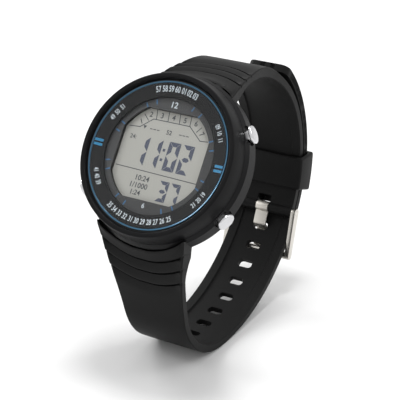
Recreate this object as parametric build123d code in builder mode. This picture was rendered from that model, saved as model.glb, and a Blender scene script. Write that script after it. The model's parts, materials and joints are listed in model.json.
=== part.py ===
from build123d import *
from math import cos, degrees, radians, sin
import os

os.makedirs("parts", exist_ok=True)

# A digital wristwatch standing on its buckled strap, dial leaning back, in millimetres.
# X runs from 9 to 3 o'clock, -Y faces the reader, +Z is up, and the strap loop lies about X.
# The origin is on the ground, under the middle of the whole watch.

# Sizes that fit pieces together
slide_clearance = 0.05
fit_clearance = 0.1
body_clearance = 0.15
overrun = 2.0

# Crystal, the blue ring round it, and the bezel
dial_tilt = 35.8
crystal_radius = 20.2
crystal_rise = 0.55
crystal_thickness = 0.6
crystal_bevel = 0.2
trim_ring_width = 0.55
gasket_width = 0.35
gasket_drop = 0.3
bezel_slope_width = 0.45
bezel_rim_width = 1.15
bezel_flare = 0.9
bezel_rise = 0.9
bezel_depth = 4.4
bezel_edge = 0.25

# Printed ring, inner dial, its window and the display
print_ring_width = 3.8
print_ring_thickness = 1.3
print_ring_dish = 0.5
mask_lap = 0.4
mask_thickness = 1.25
window_corner_radius = 14.7
window_width = 26.6
window_height = 25.2
lcd_margin = 0.8
lcd_thickness = 1.2

# Case body and case back
case_shoulder_width = 0.8
case_shoulder_drop = 1.2
case_depth = 11.4
case_foot_rise = 1.8
case_foot_width = 1.8
case_neck_wall = 4.1
back_land_width = 3.6
back_thickness = 1.2
back_dome = 0.35
back_dome_inset = 3.4
back_dome_slope = 45.0
back_gasket_inset = 0.75
back_gasket_section = 0.3

# Movement module
module_play = 0.6
module_floor = 0.3
light_guide_width = 22.0
light_guide_height = 18.0
light_guide_thickness = 0.8
lamp_width = 2.4
lamp_height = 1.2
lamp_thickness = 1.6
strip_length = 16.0
strip_width = 1.4
board_inset = 0.5
board_thickness = 0.6
board_drop = 2.0
chip_size = 6.0
chip_thickness = 0.8
chip_bevel = 0.2
tuning_can_radius = 0.95
tuning_can_length = 6.0
cell_radius = 10.0
cell_cap_inset = 1.2
cell_thickness = 2.5
cell_shift = 3.0
cell_clip_thickness = 0.2
cell_clip_width = 5.0
buzzer_radius = 11.0
buzzer_thickness = 0.25
buzzer_spring_x = -8.0
buzzer_spring_y = -5.5
buzzer_spring_radius = 0.55
buzzer_spring_wire = 0.24
buzzer_spring_turns = 2
contact_thickness = 0.3
contact_width = 2.2
contact_height = 2.4
notch_width = 3.2
notch_height = 3.2
wire_sides = 4

# Pushers at 2, 4, 8 and 10 o'clock
pusher_angle = 28.5
pusher_depth = 6.6
pusher_travel = 0.9
pusher_proud = 1.5
pusher_cap_radius = 2.5
pusher_cap_thickness = 1.0
pusher_cap_edge = 0.3
pusher_collar_radius = 1.75
pusher_collar_length = 2.0
pusher_stem_radius = 0.8
pusher_recess_play = 0.3
pusher_recess_depth = 0.7
pusher_clip_radius = 1.35
pusher_clip_thickness = 0.25
pusher_clip_groove = 0.2
pusher_seal_section = 0.35
return_spring_wire = 0.3
return_spring_turns = 2
return_spring_room = 1.9

# Bars that hold the strap, from the case's side and underside, and the lugs round them
lower_bar_reach = 0.9
lower_bar_drop = 0.5
upper_bar_reach = -0.4
upper_bar_drop = 1.2
bar_radius = 0.75
lug_boss_radius = 1.3
lug_root_radius = 1.6
lug_root_inset = 1.7
lug_root_rise = 2.0
lug_inner = 6.2
lug_width = 2.6

# Strap, wrapped on one centre behind and below the dial
wrap_radius = 32.9
wrap_back_inset = 0.1
wrap_drop_inset = 11.9
strap_thickness = 2.3
layer_gap = 0.25
strap_half_width = 10.0
strap_case_half_width = 13.4
strap_lean_share = 0.62
channel_rim = 2.8
channel_depth = 0.5

# Long strap, from the bottom of the loop both ways
seat_radius = 50.0
seat_angle = 55.0
flat_length = 1.3
front_angle = 75.0
knee_radius = 78.0
knee_angle = 8.0
thigh_length = 4.2
lower_end_inset = 5.58
lower_end_depth = 5.32
long_taper_start = -20.0
long_taper_end = -52.0
flare_start = 8.0
flare_radius = 40.0
flare_angle = 41.0
flare_channel_angle = 32.0
tip_width = 13.0
tip_taper_drop = 26.0
tip_corner = 2.5
hole_width = 4.7
hole_length = 2.6
hole_pitch = 6.8
hole_first_angle = 50.3
holes_below = 8
holes_above = 4

# Short strap, from the top of the wrap both ways
crest_start = 45.0
brow_radius = 48.0
brow_angle = 12.0
upper_end_inset = 7.29
upper_end_depth = 6.05
short_taper_start = 15.0
short_taper_end = 52.0

# Heads of both straps, where they close on the case, as shares of the lug's boss round each bar
head_inner_inset = 5.0
lower_head_shares = ((-1.92, -1.31), (2.31, -1.31), (-1.38, 2.85))
upper_head_shares = ((-1.46, -1.31), (2.38, -2.23), (-1.0, 2.46))
head_half_width = 10.6

# Ribs that cross both straps, out from the case
lower_rib_reaches = (7.9, 5.3, 2.7)
upper_rib_reaches = (7.6, 5.7, 3.6)
rib_groove_width = 0.5
rib_groove_depth = 0.7

# Keeper loop
keeper_top_angle = -1.5
keeper_sweep = 18.0
keeper_wall = 1.3
keeper_play = 0.3
keeper_side_play = 0.2

# Buckle
pin_angle = -32.0
pin_inset = 0.8
pin_radius = 0.75
barrel_wall = 0.85
tongue_width = 4.1
tongue_thickness = 0.8
tongue_loop_wall = 0.85
tongue_bend = 0.8
tongue_hole_gap = 0.8
tongue_inner_angle = 50.6
tongue_outer_angle = 50.0
tongue_overhang_angle = 1.6
tongue_bar_gap = 0.2
tongue_notch_side = 0.2
tongue_notch_length = 3.6
frame_arm_wall = 0.65
frame_arm_thickness = 1.4
frame_side_gap = 0.2
frame_bar_radius = 1.15
frame_bar_gap = 0.25
frame_bar_angle = 43.0

# Radii about the dial's axis, each from the one inside it
bezel_bore = crystal_radius + trim_ring_width + gasket_width + fit_clearance
bezel_rim_radius = bezel_bore + bezel_slope_width
bezel_radius = bezel_rim_radius + bezel_rim_width
bezel_foot_radius = bezel_radius + bezel_flare
case_radius = bezel_foot_radius + case_shoulder_width
print_ring_inner_radius = crystal_radius - print_ring_width
mask_radius = print_ring_inner_radius + mask_lap
case_bore_radius = mask_radius + fit_clearance
module_radius = case_bore_radius - module_play
board_radius = module_radius - board_inset
back_radius = case_bore_radius + back_land_width
back_gasket_radius = case_bore_radius + back_gasket_inset

# Levels above the dial's plane
crystal_foot = crystal_rise - crystal_thickness
ring_top = crystal_foot - slide_clearance
ring_bottom = crystal_foot - print_ring_thickness
case_top = ring_bottom - fit_clearance
case_bottom = -case_depth
mask_top = ring_bottom - slide_clearance
lcd_top = mask_top - mask_thickness - slide_clearance
lcd_bottom = lcd_top - lcd_thickness
board_top = lcd_bottom - board_drop
board_bottom = board_top - board_thickness
cell_top = board_bottom - module_floor
cell_bottom = cell_top - cell_thickness
back_top = case_bottom + back_thickness
connector_span = light_guide_height + 2 * lamp_height + 2 * strip_width

# The dial's place over the strap loop
wrap_back = wrap_radius - wrap_back_inset
wrap_drop = wrap_radius - wrap_drop_inset
wrap_long_radius = wrap_radius + strap_thickness + layer_gap
wrap_outer_radius = wrap_long_radius + strap_thickness
seat_shift = seat_radius - wrap_long_radius
dial_height = wrap_drop - seat_shift * cos(radians(seat_angle)) + seat_radius + strap_thickness
front_reach = bezel_radius * sin(radians(dial_tilt)) + bezel_rise * cos(radians(dial_tilt))
back_reach = wrap_back + wrap_outer_radius + keeper_play + keeper_wall
dial_y = (front_reach - back_reach) / 2
wrap_y = dial_y + wrap_back
wrap_z = dial_height - wrap_drop
seat_y = wrap_y - seat_shift * sin(radians(seat_angle))
seat_z = seat_radius + strap_thickness

dial = Plane(
    origin=(0, dial_y, dial_height),
    x_dir=(1, 0, 0),
    z_dir=(0, -cos(radians(dial_tilt)), sin(radians(dial_tilt))),
)
dial_axis = Axis(dial.origin, dial.z_dir)
turning_plane = Plane(origin=dial.origin, x_dir=dial.x_dir, z_dir=-dial.y_dir)

# Pushers, measured out from the dial's axis
pusher_angles = {
    "light": pusher_angle,
    "reset": -pusher_angle,
    "mode": 180 + pusher_angle,
    "start": 180 - pusher_angle,
}
pusher_reach = case_radius + pusher_proud
pusher_recess_radius = pusher_cap_radius + pusher_recess_play
cap_foot = pusher_reach - pusher_cap_thickness
collar_foot = cap_foot - pusher_collar_length
chamber_floor = collar_foot - return_spring_room
seal_reach = (chamber_floor + case_bore_radius) / 2
stem_end = case_bore_radius - pusher_travel
clip_reach = case_bore_radius - fit_clearance - pusher_clip_thickness
contact_reach = stem_end - pusher_travel - contact_thickness - slide_clearance


def save(part, name):
    """Label a finished piece and write it out under the same name."""
    part.label = name
    export_step(part, f"parts/{name}.step")


def side_point(reach, level):
    """A point of the side view, given up the dial from its centre and above its plane."""
    point = dial.from_local_coords((0, reach, level))
    return (point.Y, point.Z)


def wrap_point(radius, angle):
    """A point of the side view on a circle about the wrap, angle up from level."""
    return (wrap_y + radius * cos(radians(angle)), wrap_z + radius * sin(radians(angle)))


def seat_point(radius, angle):
    """A point of the side view on a circle about the bottom arc, angle back from straight down."""
    return (seat_y + radius * sin(radians(angle)), seat_z - radius * cos(radians(angle)))


def ring(top, outer, inner, height):
    """A flat ring on the dial's axis."""
    with BuildPart() as made:
        with BuildSketch(dial.offset(top)):
            Circle(outer)
            Circle(inner, mode=Mode.SUBTRACT)
        extrude(amount=-height)
    return made.part


def window_outline(margin):
    """The display's outline: a circle cut by a rectangle, grown by a margin."""
    Circle(window_corner_radius + margin)
    Rectangle(window_width + 2 * margin, window_height + 2 * margin, mode=Mode.INTERSECT)


def pusher_plane(angle, reach):
    """The plane square to a pusher's axis, at a distance from the case's axis."""
    turn = radians(angle)
    centre = dial.from_local_coords((reach * cos(turn), reach * sin(turn), -pusher_depth))
    outwards = dial.x_dir * cos(turn) + dial.y_dir * sin(turn)
    return Plane(origin=centre, x_dir=dial.z_dir, z_dir=outwards)


def pusher_notches():
    """The clear ways for the four stems at the module's edge."""
    with BuildPart() as made:
        for angle in pusher_angles.values():
            with BuildSketch(pusher_plane(angle, contact_reach - slide_clearance)):
                Rectangle(notch_height, notch_width)
            extrude(amount=case_radius)
    return made.part


def bar_place(side):
    """A strap bar's place in the side view, below (-1) or above (1) the dial."""
    if side < 0:
        reach, drop = lower_bar_reach, lower_bar_drop
    else:
        reach, drop = upper_bar_reach, upper_bar_drop
    return side_point(side * (case_radius + reach), case_bottom - drop)


def lug_root_place(side):
    """The middle of a lug's root in the side view, inside the case's wall."""
    return side_point(side * (case_radius - lug_root_inset), case_bottom + lug_root_rise)


def bar_rod(side, radius):
    """A rod on a strap bar's line, as long as the lugs are wide."""
    with BuildPart() as made:
        with BuildSketch(Plane.YZ):
            with Locations(bar_place(side)):
                Circle(radius)
        extrude(amount=lug_inner + lug_width, both=True)
    return made.part


def lug_pair(side, growth):
    """Both lugs of one end of the case, or with growth their pockets in the strap."""
    with BuildPart() as made:
        for hand in (-1, 1):
            with BuildSketch(Plane.YZ.offset(hand * (lug_inner - growth))):
                with Locations(bar_place(side)):
                    Circle(lug_boss_radius + growth)
                with Locations(lug_root_place(side)):
                    Circle(lug_root_radius + growth)
                make_hull()
            extrude(amount=hand * (lug_width + 2 * growth))
    return made.part


def case_outline(growth):
    """The case's outer profile as radius and level, grown by a clearance."""
    return [
        (bezel_foot_radius + growth, -bezel_depth),
        (case_radius + growth, -bezel_depth - case_shoulder_drop),
        (case_radius + growth, case_bottom + case_foot_rise),
        (case_radius - case_foot_width + growth, case_bottom - growth),
    ]


def turned(points):
    """A solid turned about the dial's axis from profile points, closed on the axis."""
    with BuildPart() as made:
        with BuildSketch(turning_plane):
            with BuildLine():
                Polyline((0, points[0][1]), *points, (0, points[-1][1]), close=True)
            make_face()
        revolve(axis=dial_axis)
    return made.part


def coil(plane, radius, wire, turns, height):
    """A round-wire spring that stands on a plane."""
    with BuildPart() as made:
        with BuildLine():
            path = Helix(
                pitch=(height - wire) / turns,
                height=height - wire,
                radius=radius,
                center=(0, 0, wire / 2),
            )
        with BuildSketch(Plane(origin=path @ 0, z_dir=path % 0)):
            RegularPolygon(wire / 2, wire_sides)
        sweep(path=path, is_frenet=True)
    return plane.location * made.part


# Bezel ring
with BuildPart() as bezel_ring:
    with BuildSketch(turning_plane):
        with BuildLine():
            Polyline(
                (bezel_bore, -bezel_depth),
                (bezel_foot_radius, -bezel_depth),
                (bezel_radius, bezel_rise - bezel_edge),
                (bezel_radius - bezel_edge, bezel_rise),
                (bezel_rim_radius, bezel_rise),
                (bezel_bore, 0),
                close=True,
            )
        make_face()
    revolve(axis=dial_axis)
save(bezel_ring.part, "bezel_ring")

# Crystal, with a small bevel round its top edge
with BuildPart() as crystal:
    with BuildSketch(dial.offset(crystal_rise)):
        Circle(crystal_radius)
    extrude(amount=-crystal_thickness)
    chamfer(crystal.faces().sort_by(dial_axis)[-1].edges(), length=crystal_bevel)
save(crystal.part, "crystal")

# Bright trim ring round the crystal, and the gasket that seals it to the bezel
trim_ring = ring(
    0,
    crystal_radius + trim_ring_width,
    crystal_radius + slide_clearance,
    -case_top - fit_clearance,
)
save(trim_ring, "trim_ring")
crystal_gasket = ring(
    -gasket_drop,
    crystal_radius + trim_ring_width + gasket_width,
    crystal_radius + trim_ring_width + slide_clearance,
    -case_top - fit_clearance - gasket_drop,
)
save(crystal_gasket, "crystal_gasket")

# Printed ring under the crystal, dished towards the inner dial
with BuildPart() as minute_ring:
    with BuildSketch(turning_plane):
        with BuildLine():
            Polyline(
                (print_ring_inner_radius, ring_top - print_ring_dish),
                (crystal_radius, ring_top),
                (crystal_radius, ring_bottom),
                (print_ring_inner_radius, ring_bottom),
                close=True,
            )
        make_face()
    revolve(axis=dial_axis)
save(minute_ring.part, "minute_ring")

# Inner dial with the window for the display
with BuildPart() as inner_dial:
    with BuildSketch(dial.offset(mask_top)):
        Circle(mask_radius)
    extrude(amount=-mask_thickness)
    with BuildSketch(dial.offset(mask_top)):
        window_outline(0)
    extrude(amount=-mask_thickness, mode=Mode.SUBTRACT)
save(inner_dial.part, "inner_dial")

# Display panel
with BuildPart() as lcd_panel:
    with BuildSketch(dial.offset(lcd_top)):
        window_outline(lcd_margin)
    extrude(amount=-lcd_thickness)
save(lcd_panel.part, "lcd_panel")

# Upper module frame, open over the display, the light guide, its lamp and the connectors
with BuildPart() as module_frame:
    with BuildSketch(dial.offset(lcd_top)):
        Circle(module_radius)
    extrude(amount=board_top - lcd_top)
    with BuildSketch(dial.offset(lcd_top)):
        window_outline(lcd_margin + fit_clearance)
    extrude(amount=lcd_bottom - lcd_top, mode=Mode.SUBTRACT)
    with BuildSketch(dial.offset(lcd_bottom)):
        Rectangle(light_guide_width + fit_clearance, light_guide_height + fit_clearance)
        with Locations((0, (light_guide_height + lamp_height) / 2)):
            Rectangle(lamp_width + fit_clearance, lamp_height + fit_clearance)
        with GridLocations(0, connector_span, 1, 2):
            Rectangle(strip_length + fit_clearance, strip_width + fit_clearance)
    extrude(amount=board_top - lcd_bottom, mode=Mode.SUBTRACT)
    add(pusher_notches(), mode=Mode.SUBTRACT)
save(module_frame.part, "module_frame")

# Light guide behind the display, and the lamp at its edge
with BuildPart() as light_guide:
    with BuildSketch(dial.offset(lcd_bottom - slide_clearance)):
        Rectangle(light_guide_width, light_guide_height)
    extrude(amount=-light_guide_thickness)
save(light_guide.part, "light_guide")

with BuildPart() as backlight_lamp:
    with BuildSketch(dial.offset(board_top)):
        with Locations((0, (light_guide_height + lamp_height) / 2)):
            Rectangle(lamp_width, lamp_height)
    extrude(amount=lamp_thickness)
save(backlight_lamp.part, "backlight_lamp")

# Conductive rubber strips that join the display to the board
with BuildPart() as connector_strips:
    with BuildSketch(dial.offset(lcd_bottom)):
        with GridLocations(0, connector_span, 1, 2):
            Rectangle(strip_length, strip_width)
    extrude(amount=board_top - lcd_bottom)
save(connector_strips.part, "connector_strips")

# Circuit board
with BuildPart() as circuit_board:
    with BuildSketch(dial.offset(board_top)):
        Circle(board_radius)
    extrude(amount=-board_thickness)
    add(pusher_notches(), mode=Mode.SUBTRACT)
save(circuit_board.part, "circuit_board")

# Chip under its moulded cover
with BuildPart() as watch_chip:
    with BuildSketch(dial.offset(board_top)):
        Rectangle(chip_size, chip_size)
    extrude(amount=chip_thickness)
    chamfer(watch_chip.faces().sort_by(dial_axis)[-1].edges(), length=chip_bevel)
save(watch_chip.part, "watch_chip")

# Tuning crystal in its can, lying in the cell frame
can_start = (-cell_radius, -tuning_can_length / 2, board_bottom - tuning_can_radius)
can_plane = Plane(origin=dial.from_local_coords(can_start), x_dir=dial.x_dir, z_dir=dial.y_dir)
with BuildPart() as tuning_can:
    with BuildSketch(can_plane):
        Circle(tuning_can_radius)
    extrude(amount=tuning_can_length)
save(tuning_can.part, "tuning_can")

# Lower module frame, which holds the cell
with BuildPart() as cell_frame:
    with BuildSketch(dial.offset(board_bottom)):
        Circle(module_radius)
    extrude(amount=cell_bottom - board_bottom)
    with BuildSketch(dial.offset(cell_top)):
        with Locations((cell_shift, 0)):
            Circle(cell_radius + body_clearance)
    extrude(amount=cell_bottom - cell_top, mode=Mode.SUBTRACT)
    with BuildSketch(dial.offset(board_bottom)):
        with Locations((-cell_radius, 0)):
            Rectangle(2 * (tuning_can_radius + fit_clearance), tuning_can_length + 2 * fit_clearance)
    extrude(amount=-2 * (tuning_can_radius + fit_clearance), mode=Mode.SUBTRACT)
    with BuildSketch(dial.offset(board_bottom)):
        with Locations((buzzer_spring_x, buzzer_spring_y)):
            Circle(buzzer_spring_radius + buzzer_spring_wire + fit_clearance)
    extrude(amount=cell_bottom - board_bottom, mode=Mode.SUBTRACT)
    add(pusher_notches(), mode=Mode.SUBTRACT)
save(cell_frame.part, "cell_frame")

# Coin cell: a can with a smaller cap on its upper side
with BuildPart() as coin_cell:
    with BuildSketch(dial.offset(cell_bottom)):
        with Locations((cell_shift, 0)):
            Circle(cell_radius)
    extrude(amount=cell_thickness - module_floor)
    with BuildSketch(dial.offset(cell_top)):
        with Locations((cell_shift, 0)):
            Circle(cell_radius - cell_cap_inset)
    extrude(amount=-module_floor)
save(coin_cell.part, "coin_cell")

# Steel clip over the cell
with BuildPart() as cell_clip:
    with BuildSketch(dial.offset(cell_bottom - slide_clearance)):
        with Locations((cell_shift, 0)):
            Rectangle(2 * cell_radius + cell_clip_width, cell_clip_width)
            Rectangle(cell_clip_width, 2 * cell_radius + cell_clip_width)
    extrude(amount=-cell_clip_thickness)
save(cell_clip.part, "cell_clip")

# Buzzer disc bonded inside the case back, and the spring that feeds it
with BuildPart() as buzzer_disc:
    with BuildSketch(dial.offset(back_top)):
        Circle(buzzer_radius)
    extrude(amount=buzzer_thickness)
save(buzzer_disc.part, "buzzer_disc")

buzzer_spring_foot = (buzzer_spring_x, buzzer_spring_y, back_top + buzzer_thickness)
buzzer_spring = coil(
    Plane(origin=dial.from_local_coords(buzzer_spring_foot), x_dir=dial.x_dir, z_dir=dial.z_dir),
    buzzer_spring_radius,
    buzzer_spring_wire,
    buzzer_spring_turns,
    board_bottom - back_top - buzzer_thickness,
)
save(buzzer_spring, "buzzer_spring")

# Switch contacts on the board's edge, one for each stem
with BuildPart() as switch_contacts:
    for angle in pusher_angles.values():
        with BuildSketch(pusher_plane(angle, contact_reach)):
            Rectangle(contact_height, contact_width)
        extrude(amount=contact_thickness)
save(switch_contacts.part, "switch_contacts")

# Case back, domed in the middle, and its gasket
with BuildPart() as case_back:
    with BuildSketch(dial.offset(case_bottom)):
        Circle(back_radius)
    extrude(amount=back_thickness)
    with BuildSketch(dial.offset(case_bottom)):
        Circle(back_radius - back_dome_inset)
    extrude(amount=-back_dome, taper=back_dome_slope)
save(case_back.part, "case_back")

case_back_gasket = ring(
    back_top + slide_clearance + 2 * back_gasket_section,
    back_gasket_radius + back_gasket_section,
    back_gasket_radius - back_gasket_section,
    2 * back_gasket_section,
)
save(case_back_gasket, "case_back_gasket")

# Case body: a turned shell with a neck inside the bezel, four pusher bores and two pairs of lugs
with BuildPart() as case_body:
    add(turned(case_outline(0)))
    with BuildSketch(dial.offset(case_top)):
        Circle(case_bore_radius + case_neck_wall)
    extrude(amount=-bezel_depth - case_top)
    for end in (-1, 1):
        add(lug_pair(end, 0))
    with BuildSketch(dial.offset(case_top)):
        Circle(case_bore_radius)
    extrude(amount=case_bottom - case_top, mode=Mode.SUBTRACT)
    with BuildSketch(dial.offset(case_bottom)):
        Circle(back_radius + fit_clearance)
    extrude(amount=back_thickness, mode=Mode.SUBTRACT)
    with BuildSketch(dial.offset(back_top)):
        Circle(back_gasket_radius + back_gasket_section + slide_clearance)
    extrude(amount=2 * (back_gasket_section + slide_clearance), mode=Mode.SUBTRACT)
    for end in (-1, 1):
        add(bar_rod(end, bar_radius + slide_clearance), mode=Mode.SUBTRACT)
    for angle in pusher_angles.values():
        with BuildSketch(pusher_plane(angle, chamber_floor)):
            Circle(pusher_collar_radius + fit_clearance)
        extrude(amount=case_radius, mode=Mode.SUBTRACT)
        with BuildSketch(pusher_plane(angle, case_radius - pusher_recess_depth)):
            Circle(pusher_recess_radius)
        extrude(amount=case_radius, mode=Mode.SUBTRACT)
        with BuildSketch(pusher_plane(angle, case_bore_radius - overrun)):
            Circle(pusher_stem_radius + slide_clearance)
        extrude(amount=case_radius - case_bore_radius, mode=Mode.SUBTRACT)
        with BuildSketch(pusher_plane(angle, seal_reach - pusher_seal_section)):
            Circle(pusher_stem_radius + 2 * pusher_seal_section + slide_clearance)
        extrude(amount=2 * pusher_seal_section, mode=Mode.SUBTRACT)
save(case_body.part, "case_body")

# Seals in the case round the four stems
with BuildPart() as pusher_seals:
    for angle in pusher_angles.values():
        with BuildSketch(pusher_plane(angle, seal_reach - pusher_seal_section + slide_clearance)):
            Circle(pusher_stem_radius + 2 * pusher_seal_section)
            Circle(pusher_stem_radius + slide_clearance, mode=Mode.SUBTRACT)
        extrude(amount=2 * (pusher_seal_section - slide_clearance))
save(pusher_seals.part, "pusher_seals")

# Pushers, each with its clip and its return spring
for name, angle in pusher_angles.items():
    with BuildPart() as pusher:
        with BuildSketch(pusher_plane(angle, cap_foot)):
            Circle(pusher_cap_radius)
        extrude(amount=pusher_cap_thickness)
        chamfer(pusher.edges().filter_by(GeomType.CIRCLE), length=pusher_cap_edge)
        with BuildSketch(pusher_plane(angle, collar_foot)):
            Circle(pusher_collar_radius)
        extrude(amount=pusher_collar_length)
        with BuildSketch(pusher_plane(angle, stem_end)):
            Circle(pusher_stem_radius)
        extrude(amount=collar_foot - stem_end)
        with BuildSketch(pusher_plane(angle, clip_reach)):
            Circle(pusher_stem_radius)
            Circle(pusher_stem_radius - pusher_clip_groove, mode=Mode.SUBTRACT)
        extrude(amount=pusher_clip_thickness, mode=Mode.SUBTRACT)
    save(pusher.part, f"{name}_pusher")
    with BuildPart() as clip:
        with BuildSketch(pusher_plane(angle, clip_reach)):
            Circle(pusher_clip_radius)
            Circle(pusher_stem_radius - pusher_clip_groove, mode=Mode.SUBTRACT)
            with Locations((0, pusher_clip_radius)):
                Rectangle(pusher_stem_radius, 2 * pusher_clip_radius, mode=Mode.SUBTRACT)
        extrude(amount=pusher_clip_thickness)
    save(clip.part, f"{name}_pusher_clip")
    spring = coil(
        pusher_plane(angle, chamber_floor),
        (pusher_stem_radius + pusher_collar_radius + fit_clearance) / 2,
        return_spring_wire,
        return_spring_turns,
        return_spring_room,
    )
    save(spring, f"{name}_pusher_spring")

# Bars that hold the two straps between the lugs
save(bar_rod(-1, bar_radius), "lower_strap_bar")
save(bar_rod(1, bar_radius), "upper_strap_bar")


def turn_shift(radius, start, end):
    """How far an arc moves in the side view when its heading turns from start to end."""
    hand = 1 if end > start else -1
    first, last = radians(start), radians(end)
    along = hand * radius * (sin(last) - sin(first))
    up = hand * radius * (cos(first) - cos(last))
    return along, up


# The long strap's front, fitted between the ground and the underside of the case
leg_heading = 180 - front_angle
thigh_heading = leg_heading - knee_angle
lower_end = side_point(lower_end_inset - case_radius, -lower_end_depth)
knee_along, knee_up = turn_shift(knee_radius, leg_heading, thigh_heading)
thigh_along = thigh_length * cos(radians(thigh_heading))
thigh_up = thigh_length * sin(radians(thigh_heading))
front_span = seat_y - flat_length - lower_end[0] + knee_along + thigh_along
front_height = lower_end[1] - strap_thickness - knee_up - thigh_up
front_sine, front_cosine = sin(radians(front_angle)), cos(radians(front_angle))
front_radius = (front_span * front_sine - front_height * front_cosine) / (1 - front_cosine)
leg_length = (front_height * front_sine) / (1 - front_cosine) - front_span

# The short strap's top, fitted between the wrap and the case
crest_point = wrap_point(wrap_radius, crest_start)
upper_end = side_point(case_radius - upper_end_inset, -upper_end_depth)
brow_along, brow_up = turn_shift(brow_radius, 180, 180 + brow_angle)
crest_span = crest_point[0] - upper_end[0] + brow_along
crest_height = upper_end[1] - crest_point[1] - brow_up
crest_along, crest_up = turn_shift(1, 90 + crest_start, 180)
head_along, head_down = cos(radians(brow_angle)), sin(radians(brow_angle))
crest_share = crest_up * head_along - crest_along * head_down
crest_radius = (crest_span * head_down + crest_height * head_along) / crest_share
brow_length = (crest_span * crest_up + crest_height * crest_along) / crest_share


def long_line(depth, end_angle):
    """The long strap's line, depth outside its wrist face, with the points at its two ends."""
    level = strap_thickness - depth
    flat = Line((seat_y, level), (seat_y - flat_length, level))
    front = JernArc(flat @ 1, flat % 1, front_radius + depth, -front_angle)
    leg = Line(front @ 1, front @ 1 + (front % 1) * leg_length)
    knee = JernArc(leg @ 1, leg % 1, knee_radius + depth, -knee_angle)
    thigh = Line(knee @ 1, knee @ 1 + (knee % 1) * thigh_length)
    seat = JernArc((seat_y, level), (1, 0), seat_radius + depth, seat_angle)
    back = JernArc(seat @ 1, seat % 1, wrap_long_radius + depth, 90 - seat_angle + flare_start)
    flare = JernArc(back @ 1, back % 1, flare_radius + depth, end_angle)
    return thigh @ 1, flare @ 1


def short_line(depth, end_angle):
    """The short strap's line, depth outside its wrist face, with the points at its two ends."""
    turn = radians(crest_start)
    start = wrap_point(wrap_radius + depth, crest_start)
    crest = JernArc(start, (-sin(turn), cos(turn)), crest_radius + depth, 90 - crest_start)
    brow = JernArc(crest @ 1, crest % 1, brow_radius + depth, brow_angle)
    head = Line(brow @ 1, brow @ 1 + (brow % 1) * brow_length)
    wrap = JernArc(start, (sin(turn), -cos(turn)), wrap_radius + depth, end_angle - crest_start)
    return head @ 1, wrap @ 1


def strip(line, end_angle, low, high, half_width):
    """The solid between two depths of a strap's line, run across the strap."""
    with BuildPart() as made:
        with BuildSketch(Plane.YZ):
            with BuildLine():
                low_case, low_end = line(low, end_angle)
                high_case, high_end = line(high, end_angle)
                Line(low_case, high_case)
                Line(low_end, high_end)
            make_face()
        extrude(amount=half_width, both=True)
    return made.part


def rib_grooves(line, end_angle, reaches):
    """Grooves on circles about the dial's axis, sunk into a strap's outer face."""
    low = strap_thickness - rib_groove_depth
    high = strap_thickness + rib_groove_depth
    with BuildPart() as made:
        add(strip(line, end_angle, low, high, strap_case_half_width + overrun))
        with BuildSketch(dial.offset(crystal_rise)):
            for reach in reaches:
                Circle(case_radius + reach + rib_groove_width)
                Circle(case_radius + reach, mode=Mode.SUBTRACT)
        extrude(amount=-2 * case_radius, mode=Mode.INTERSECT)
    return made.part


def strap_head(side, shares):
    """The thick root of a strap, from its wrist face to the underside of the case."""
    lip = side_point(side * (case_radius - head_inner_inset), case_bottom - body_clearance)
    bar = Vector(*bar_place(side), 0)
    outline = []
    for across, above in shares:
        step = dial.y_dir * (side * across) + dial.z_dir * above
        outline.append(bar + Vector(step.Y, step.Z, 0) * lug_boss_radius)
    with BuildPart() as made:
        with BuildSketch(Plane.YZ):
            with BuildLine():
                Polyline(lip, *outline, close=True)
            make_face()
        extrude(amount=head_half_width, both=True)
    return made.part


def strap_envelope(plane, start, end):
    """Everything within a strap's plan outline: tapered ahead of a plane, parallel behind it."""
    span = end - start
    with BuildPart() as made:
        with BuildSketch(plane):
            with BuildLine():
                for hand in (-1, 1):
                    wide = hand * strap_case_half_width
                    narrow = hand * strap_half_width
                    lean = wide + (narrow - wide) * strap_lean_share
                    Line((wide, start - span / 2), (wide, start))
                    Bezier(
                        (wide, start),
                        (lean, start + span / 3),
                        (narrow, end - span / 3),
                        (narrow, end),
                    )
                    Line((narrow, end), (narrow, end + 2 * span))
                Line((-wide, start - span / 2), (wide, start - span / 2))
                Line((-narrow, end + 2 * span), (narrow, end + 2 * span))
            make_face()
        extrude(amount=wrap_outer_radius + overrun)
        with BuildSketch(plane):
            Rectangle(2 * strap_half_width, 4 * wrap_outer_radius)
        extrude(amount=-3 * wrap_outer_radius)
    return made.part


head_clearance = turned([
    (bezel_radius + body_clearance, bezel_rise),
    *case_outline(body_clearance),
    (case_radius - head_inner_inset, case_bottom - body_clearance),
    (case_radius - head_inner_inset, 2 * case_bottom),
])
pin_reach = wrap_radius + pin_inset
pin_point = wrap_point(pin_reach, pin_angle)

# Long strap, from the case down and round the back to its free tip
hole_angle = degrees(hole_pitch / (seat_radius + strap_thickness / 2))
hole_first_wrap = degrees(
    (hole_pitch - radians(seat_angle - hole_first_angle) * (seat_radius + strap_thickness / 2))
    / (wrap_long_radius + strap_thickness / 2)
)
hole_wrap_angle = degrees(hole_pitch / (wrap_long_radius + strap_thickness / 2))
hole_planes = []
for count in range(holes_below):
    angle = hole_first_angle - count * hole_angle
    turn = radians(angle)
    origin = (0, *seat_point(seat_radius, angle))
    hole_planes.append(Plane(origin=origin, x_dir=(1, 0, 0), z_dir=(0, sin(turn), -cos(turn))))
for count in range(holes_above):
    angle = seat_angle - 90 + hole_first_wrap + count * hole_wrap_angle
    turn = radians(angle)
    origin = (0, *wrap_point(wrap_long_radius, angle))
    hole_planes.append(Plane(origin=origin, x_dir=(1, 0, 0), z_dir=(0, cos(turn), sin(turn))))

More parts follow.
